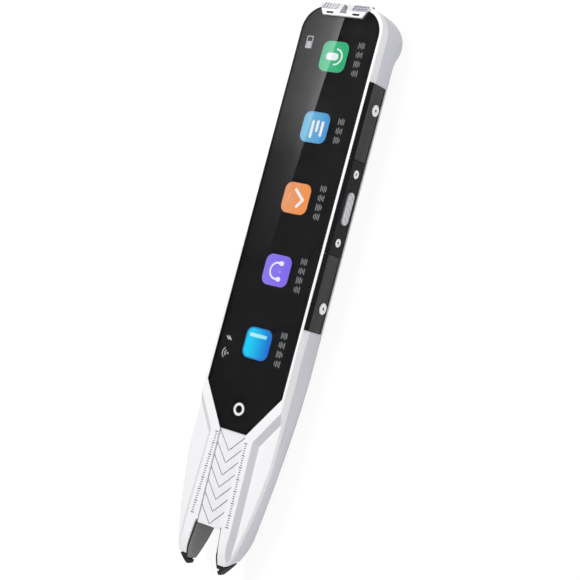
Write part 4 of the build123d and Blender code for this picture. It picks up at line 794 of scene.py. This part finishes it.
# %% Status marks
GAUGE_X, GAUGE_Y, GAUGE_LINE, GAUGE_CORNER = -10.3, 47.1, 0.3, 0.12
gauge = join("battery_mark", [
    bar_mark("top line", GAUGE_X, GAUGE_Y + 1.8, 2.3, GAUGE_LINE, GAUGE_CORNER),
    bar_mark("bottom line", GAUGE_X, GAUGE_Y - 1.8, 2.3, GAUGE_LINE, GAUGE_CORNER),
    bar_mark("left line", GAUGE_X - 1.0, GAUGE_Y, GAUGE_LINE, 3.8, GAUGE_CORNER),
    bar_mark("right line", GAUGE_X + 1.0, GAUGE_Y, GAUGE_LINE, 3.8, GAUGE_CORNER),
    bar_mark("charge", GAUGE_X, GAUGE_Y - 0.7, 1.5, 2.0, GAUGE_CORNER),
])
BOLT_LINE = 0.45
bolt = join("bolt_mark", [
    stroke_mark("upper stroke", (-11.5, -45.8), (-10.7, -46.6), BOLT_LINE),
    stroke_mark("cross stroke", (-10.7, -46.6), (-10.7, -45.7), BOLT_LINE),
    stroke_mark("lower stroke", (-10.7, -45.7), (-9.8, -46.6), BOLT_LINE),
])
fan_place = (-9.8, -50.8)
fan = join("signal_mark", [
    disc_mark("dot", *fan_place, 0.32),
    arc_mark("near wave", *fan_place, 1.2, 0.86, 130, 230),
    arc_mark("far wave", *fan_place, 2.1, 1.76, 130, 230),
])
home = arc_mark("home_mark", -0.3, -66.05, outer=1.95, inner=1.15, start=0, end=360)
soft_light = lit_finish("soft screen light", tone(196, 196, 200), tone(206, 206, 210))
for mark, light in ((gauge, soft_light), (bolt, soft_light), (fan, soft_light), (home, white_light)):
    dress(mark, light, "case", "black_screen")
print("status marks", gauge.name, bolt.name, fan.name, home.name)

# %% [markdown]
# ## Printed scales beside the channel
# A fine row of grey ticks is printed on each shoulder of the chevron channel, like the edge of a ruler.
# Each tick could be placed by a loop, but the pitch is even, so one tick is modelled and an Array
# modifier repeats it along the shoulder. A second, longer tick marks every fifth place.

# %% Ticks
tick_ink = solid_finish("printed grey tick", (0.10, 0.10, 0.105), (0.06, 0.06, 0.065), (0.1, 0.1, 0.1),
                        0.5, 0.2, 0.002, drift_size=2, wear_and_edge_shade=0.0)
FRONT_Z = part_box("front_frame")[1].z / MM
TICK_LOW, TICK_HIGH = FRONT_Z + 0.002, FRONT_Z + 0.014
TICK_X, TICK_PITCH, TICK_COUNT, TICK_LEAN = 5.75, 0.72, 36, 0.033
TICK_THICK, TICK_CORNER, SHORT_TICK, LONG_TICK, LONG_EVERY = 0.26, 0.05, 0.7, 1.2, 5


def tick_row(name, x, width, first_y, pitch, count, slant):
    tick = bar_mark(name, x, first_y, width, TICK_THICK, TICK_CORNER, TICK_LOW, TICK_HIGH)
    row = tick.modifiers.new("row", "ARRAY")
    row.count, row.use_relative_offset, row.use_constant_offset = count, False, True
    row.constant_offset_displace = (slant * MM, -pitch * MM, 0)
    apply_modifiers(tick)
    return tick


for side, name, top_y in ((-1, "left", -74.2), (1, "right", -75.2)):
    x, lean = side * TICK_X, side * TICK_LEAN
    row = join(f"{name}_tick_row", [
        tick_row("short ticks", x, SHORT_TICK, top_y, TICK_PITCH, TICK_COUNT, lean),
        tick_row("long ticks", x, LONG_TICK, top_y, TICK_PITCH * LONG_EVERY, TICK_COUNT // LONG_EVERY + 1,
                 lean * LONG_EVERY),
    ])
    dress(row, tick_ink, "case", "grey_trim")
print("ticks on a front at", round(FRONT_Z, 2), "mm")

# %% [markdown]
# ## Pieces inside the case
# Most of the inner pieces only show through the ports, the slots and the scanning window. One grey could
# cover them all, but a look through a port would then show plain blocks, so each kind gets its own
# finish: solder mask, moulded epoxy, foil, film, foam, rolled steel and plated steel.

# %% Inner finishes
board_green = solid_finish("green solder mask", (0.010, 0.085, 0.040), (0.008, 0.060, 0.030),
                           (0.30, 0.26, 0.10), 0.35, 0.5, 0.01, drift_size=2.5, coat=0.3)
epoxy_black = solid_finish("moulded epoxy", (0.022, 0.022, 0.023), (0.017, 0.017, 0.018), (0.05, 0.05, 0.052),
                           0.55, 0.15, 0.008, drift_size=2)
rolled_steel = solid_finish("rolled steel sheet", (0.50, 0.51, 0.53), (0.44, 0.45, 0.47), (0.65, 0.66, 0.68),
                            0.32, 0.3, 0.004, metallic=1.0, stretch=(1, 0.1, 1), drift_size=6)
plated_steel = solid_finish("plated steel", (0.62, 0.62, 0.64), (0.55, 0.55, 0.57), (0.75, 0.75, 0.77),
                            0.2, 0.4, 0.003, metallic=1.0, drift_size=4)
pouch_foil = solid_finish("battery foil", (0.42, 0.43, 0.45), (0.36, 0.37, 0.39), (0.6, 0.6, 0.62),
                          0.3, 1.5, 0.05, metallic=0.8, drift_size=7)
white_tape = solid_finish("white tape", (0.70, 0.69, 0.64), (0.64, 0.63, 0.58), (0.75, 0.74, 0.7),
                          0.7, 0.3, 0.01, drift_size=4)
amber_film = solid_finish("amber film", (0.42, 0.19, 0.035), (0.34, 0.14, 0.025), (0.55, 0.3, 0.08),
                          0.3, 0.6, 0.003, drift_size=3, coat=0.4)
copper_foil = solid_finish("copper foil", (0.62, 0.33, 0.18), (0.52, 0.26, 0.14), (0.75, 0.45, 0.28),
                           0.3, 0.5, 0.01, metallic=1.0, drift_size=4)
dark_foam = solid_finish("dark foam", (0.03, 0.03, 0.03), (0.02, 0.02, 0.02), (0.05, 0.05, 0.05),
                         0.85, 0.2, 0.05, drift_size=2)
lamp_epoxy = solid_finish("lamp epoxy", (0.85, 0.82, 0.62), (0.8, 0.76, 0.5), (0.9, 0.88, 0.75),
                          0.25, 0.3, 0.004, drift_size=1, coat=0.4)
window_clear = clear_finish("smoked window", (0.45, 0.46, 0.47), 0.03, 0.001)
lens_clear = clear_finish("coated lens", (0.62, 0.66, 0.85), 0.01, 0.0005)
print("inner finishes ready")

# %% Paint the inner pieces
inner_finishes = {
    board_green: ["main_board", "camera_board", "lamp_board", "foot_switch_board"],
    epoxy_black: ["processor", "memory_chip", "ribbon_connectors", "image_sensor", "lens_holder",
                  "foot_switch", "power_switch", "usb_tongue", "speaker", "display_panel"],
    rolled_steel: ["display_tray", "shield_can", "speaker_mesh", "microphones", "foot_plunger", "foot_peg"],
    plated_steel: ["usb_shell"],
    pouch_foil: ["battery"],
    white_tape: ["battery_tape"],
    amber_film: ["display_ribbon", "camera_ribbon"],
    copper_foil: ["antenna"],
    dark_foam: ["speaker_gasket"],
    lamp_epoxy: ["scan_lamps"],
    window_clear: ["scan_window"],
    lens_clear: ["camera_lens"],
}
for finish, names in inner_finishes.items():
    for node in names:
        paint(node, finish)
print("inner pieces", sum(len(names) for names in inner_finishes.values()))

# %% [markdown]
# ## Floor
# The picture shows the pen on pure white with hardly a shadow. A pale floor at the height of the rear
# cover takes the soft shadow. To camera, glossy and transmission rays it is a darker paper with light of
# its own, which shows as white without putting more light on the pen.

# %% Rays that see the background
def seen_share(tree):
    rays = tree.nodes.new("ShaderNodeLightPath")
    first, second = tree.nodes.new("ShaderNodeMath"), tree.nodes.new("ShaderNodeMath")
    first.operation = second.operation = "MAXIMUM"
    tree.links.new(rays.outputs["Is Camera Ray"], first.inputs[0])
    tree.links.new(rays.outputs["Is Glossy Ray"], first.inputs[1])
    tree.links.new(first.outputs["Value"], second.inputs[0])
    tree.links.new(rays.outputs["Is Transmission Ray"], second.inputs[1])
    return second.outputs["Value"]


print("ray mask ready")

# %% Pale floor
FLOOR_SIZE, FLOOR_GAP = 4, 0.00005
PAPER, SEEN_PAPER, PAPER_LIFT = 0.8, 0.13, 0.91
clear_selection()
bpy.ops.mesh.primitive_plane_add(size=FLOOR_SIZE, location=(0, 0, -FLOOR_GAP))
floor = bpy.context.object
floor.name = "studio_floor"
floor_paint = bpy.data.materials.new("pale floor")
floor_paint.use_nodes = True
nodes, links = floor_paint.node_tree.nodes, floor_paint.node_tree.links
nodes.clear()
paper = nodes.new("ShaderNodeBsdfDiffuse")
paper.inputs["Color"].default_value = (PAPER, PAPER, PAPER, 1)
seen_paper = nodes.new("ShaderNodeBsdfDiffuse")
seen_paper.inputs["Color"].default_value = (SEEN_PAPER, SEEN_PAPER, SEEN_PAPER, 1)
lift = nodes.new("ShaderNodeEmission")
lift.inputs["Strength"].default_value = PAPER_LIFT
seen = nodes.new("ShaderNodeAddShader")
links.new(seen_paper.outputs["BSDF"], seen.inputs[0])
links.new(lift.outputs["Emission"], seen.inputs[1])
choice = nodes.new("ShaderNodeMixShader")
links.new(seen_share(floor_paint.node_tree), choice.inputs["Fac"])
links.new(paper.outputs["BSDF"], choice.inputs[1])
links.new(seen.outputs["Shader"], choice.inputs[2])
output = nodes.new("ShaderNodeOutputMaterial")
links.new(choice.outputs["Shader"], output.inputs["Surface"])
floor.data.materials.append(floor_paint)
print("floor at", floor.location.z)

# %% [markdown]
# ## Light
# A plain white room gives part of the light, and looks brighter to the rays that see it than it shines.
# The key lamp hangs far to the left of the pen, so the slopes that face right turn a little grey, and a
# weaker, low lamp on the button's side opens up the silver flank and the rails.

# %% World
ROOM_LIGHT, SEEN_WHITE = 0.37, 1.0
world = bpy.data.worlds.new("white room")
bpy.context.scene.world = world
world.use_nodes = True
nodes, links = world.node_tree.nodes, world.node_tree.links
room = nodes["Background"]
room.inputs["Color"].default_value = (1, 1, 1, 1)
room.inputs["Strength"].default_value = ROOM_LIGHT
bright = nodes.new("ShaderNodeBackground")
bright.inputs["Strength"].default_value = SEEN_WHITE
choice = nodes.new("ShaderNodeMixShader")
links.new(seen_share(world.node_tree), choice.inputs["Fac"])
links.new(room.outputs["Background"], choice.inputs[1])
links.new(bright.outputs["Background"], choice.inputs[2])
links.new(choice.outputs["Shader"], nodes["World Output"].inputs["Surface"])
print("world", world.name)

# %% Lamps
LAMP_AIM = (0, -0.02, 0)


def add_lamp(name, place, size, power):
    data = bpy.data.lights.new(name, "AREA")
    data.shape, data.size, data.energy = "SQUARE", size, power
    lamp = bpy.data.objects.new(name, data)
    bpy.context.collection.objects.link(lamp)
    lamp.location = place
    lamp.rotation_euler = (Vector(LAMP_AIM) - Vector(place)).to_track_quat("-Z", "Y").to_euler()
    return lamp


key_lamp = add_lamp("key_lamp", place=(-0.56, 0.40, 1.15), size=0.6, power=14)
button_side_lamp = add_lamp("button_side_lamp", place=(1.2, -0.25, 0.14), size=0.3, power=3.8)
print("lamps", key_lamp.name, button_side_lamp.name)

# %% [markdown]
# ## Reflections on the glass
# The glass is a mirror lying flat, so what it shows is straight above it, away from the camera. A dark
# cloth hangs there and keeps the screen black. Just below it a bright card gives the slanting patch of
# glare at the top left of the screen. The patch could be painted on the glass, but it would then stay
# there from every side. The card shines most along its slanting right edge and at its far end, and fades
# to the left and to the middle of the pen.

# %% Cloth
CLOTH_HEIGHT = 720.0
CLOTH_LOW, CLOTH_HIGH = (-680, -260), (-330, 420)


def hang(name, low, high, height, lean=0.0):
    clear_selection()
    middle = [(a + b) / 2 * MM for a, b in zip(low, high)]
    bpy.ops.mesh.primitive_plane_add(size=1, location=(*middle, height * MM))
    sheet = bpy.context.object
    sheet.scale = ((high[0] - low[0]) * MM, (high[1] - low[1]) * MM, 1)
    settle(sheet, name)
    edit_points(sheet, lambda point: point.x > middle[0] and point.y > middle[1])
    bpy.ops.transform.translate(value=(lean * MM, 0, 0))
    bpy.ops.object.mode_set(mode="OBJECT")
    sheet.visible_camera = False
    sheet.visible_shadow = False
    sheet.visible_diffuse = False
    return sheet


cloth = hang("dark_cloth", CLOTH_LOW, CLOTH_HIGH, CLOTH_HEIGHT)
cloth_black, _, cloth_shader = new_finish("dark cloth")
cloth_shader.inputs["Base Color"].default_value = (0.004, 0.004, 0.004, 1)
cloth_shader.inputs["Roughness"].default_value = 1.0
cloth_shader.inputs["Specular IOR Level"].default_value = 0.0
cloth.data.materials.append(cloth_black)
print("cloth at", CLOTH_HEIGHT, "mm")

# %% Card
CARD_HEIGHT = CLOTH_HEIGHT - 20
CARD_LOW, CARD_HIGH, CARD_LEAN = (-640, 20), (-512.5, 420), 26.4
card = hang("glare_card", CARD_LOW, CARD_HIGH, CARD_HEIGHT, CARD_LEAN)
card_light = bpy.data.materials.new("fading card")
card_light.use_nodes = True
nodes, links = card_light.node_tree.nodes, card_light.node_tree.links
nodes.clear()
card.data.materials.append(card_light)
print("card at", CARD_HEIGHT, "mm")

# %% Fading of the card
CARD_STRENGTH = 2.1
RUN_ALONG, RUN_ACROSS = (20, 240), (-552, -512)
FADE_ALONG = [(0.0, 0.0), (0.155, 0.057), (0.273, 0.119), (0.427, 0.238), (0.632, 0.857), (0.841, 1.0)]
FADE_ACROSS = [(0.0, 0.25), (0.4, 0.36), (0.75, 0.55), (1.0, 1.0)]


def fading(source, run, stops):
    ramp = nodes.new("ShaderNodeValToRGB")
    while len(ramp.color_ramp.elements) < len(stops):
        ramp.color_ramp.elements.new(0.5)
    for stop, (position, level) in zip(ramp.color_ramp.elements, stops):
        stop.position, stop.color = position, (level, level, level, 1)
    links.new(remap(card_light.node_tree, source, run[0] * MM, run[1] * MM), ramp.inputs["Fac"])
    return ramp.outputs["Color"]


place = nodes.new("ShaderNodeTexCoord")
turn = nodes.new("ShaderNodeMapping")
turn.inputs["Rotation"].default_value = (0, 0, math.atan(CARD_LEAN / (CARD_HIGH[1] - CARD_LOW[1])))
straight, turned = nodes.new("ShaderNodeSeparateXYZ"), nodes.new("ShaderNodeSeparateXYZ")
links.new(place.outputs["Object"], straight.inputs["Vector"])
links.new(place.outputs["Object"], turn.inputs["Vector"])
links.new(turn.outputs["Vector"], turned.inputs["Vector"])
both, level = nodes.new("ShaderNodeMath"), nodes.new("ShaderNodeMath")
both.operation = level.operation = "MULTIPLY"
links.new(fading(straight.outputs["Y"], RUN_ALONG, FADE_ALONG), both.inputs[0])
links.new(fading(turned.outputs["X"], RUN_ACROSS, FADE_ACROSS), both.inputs[1])
links.new(both.outputs["Value"], level.inputs[0])
level.inputs[1].default_value = CARD_STRENGTH
glow = nodes.new("ShaderNodeEmission")
output = nodes.new("ShaderNodeOutputMaterial")
links.new(level.outputs["Value"], glow.inputs["Strength"])
links.new(glow.outputs["Emission"], output.inputs["Surface"])
print("card strength", CARD_STRENGTH)
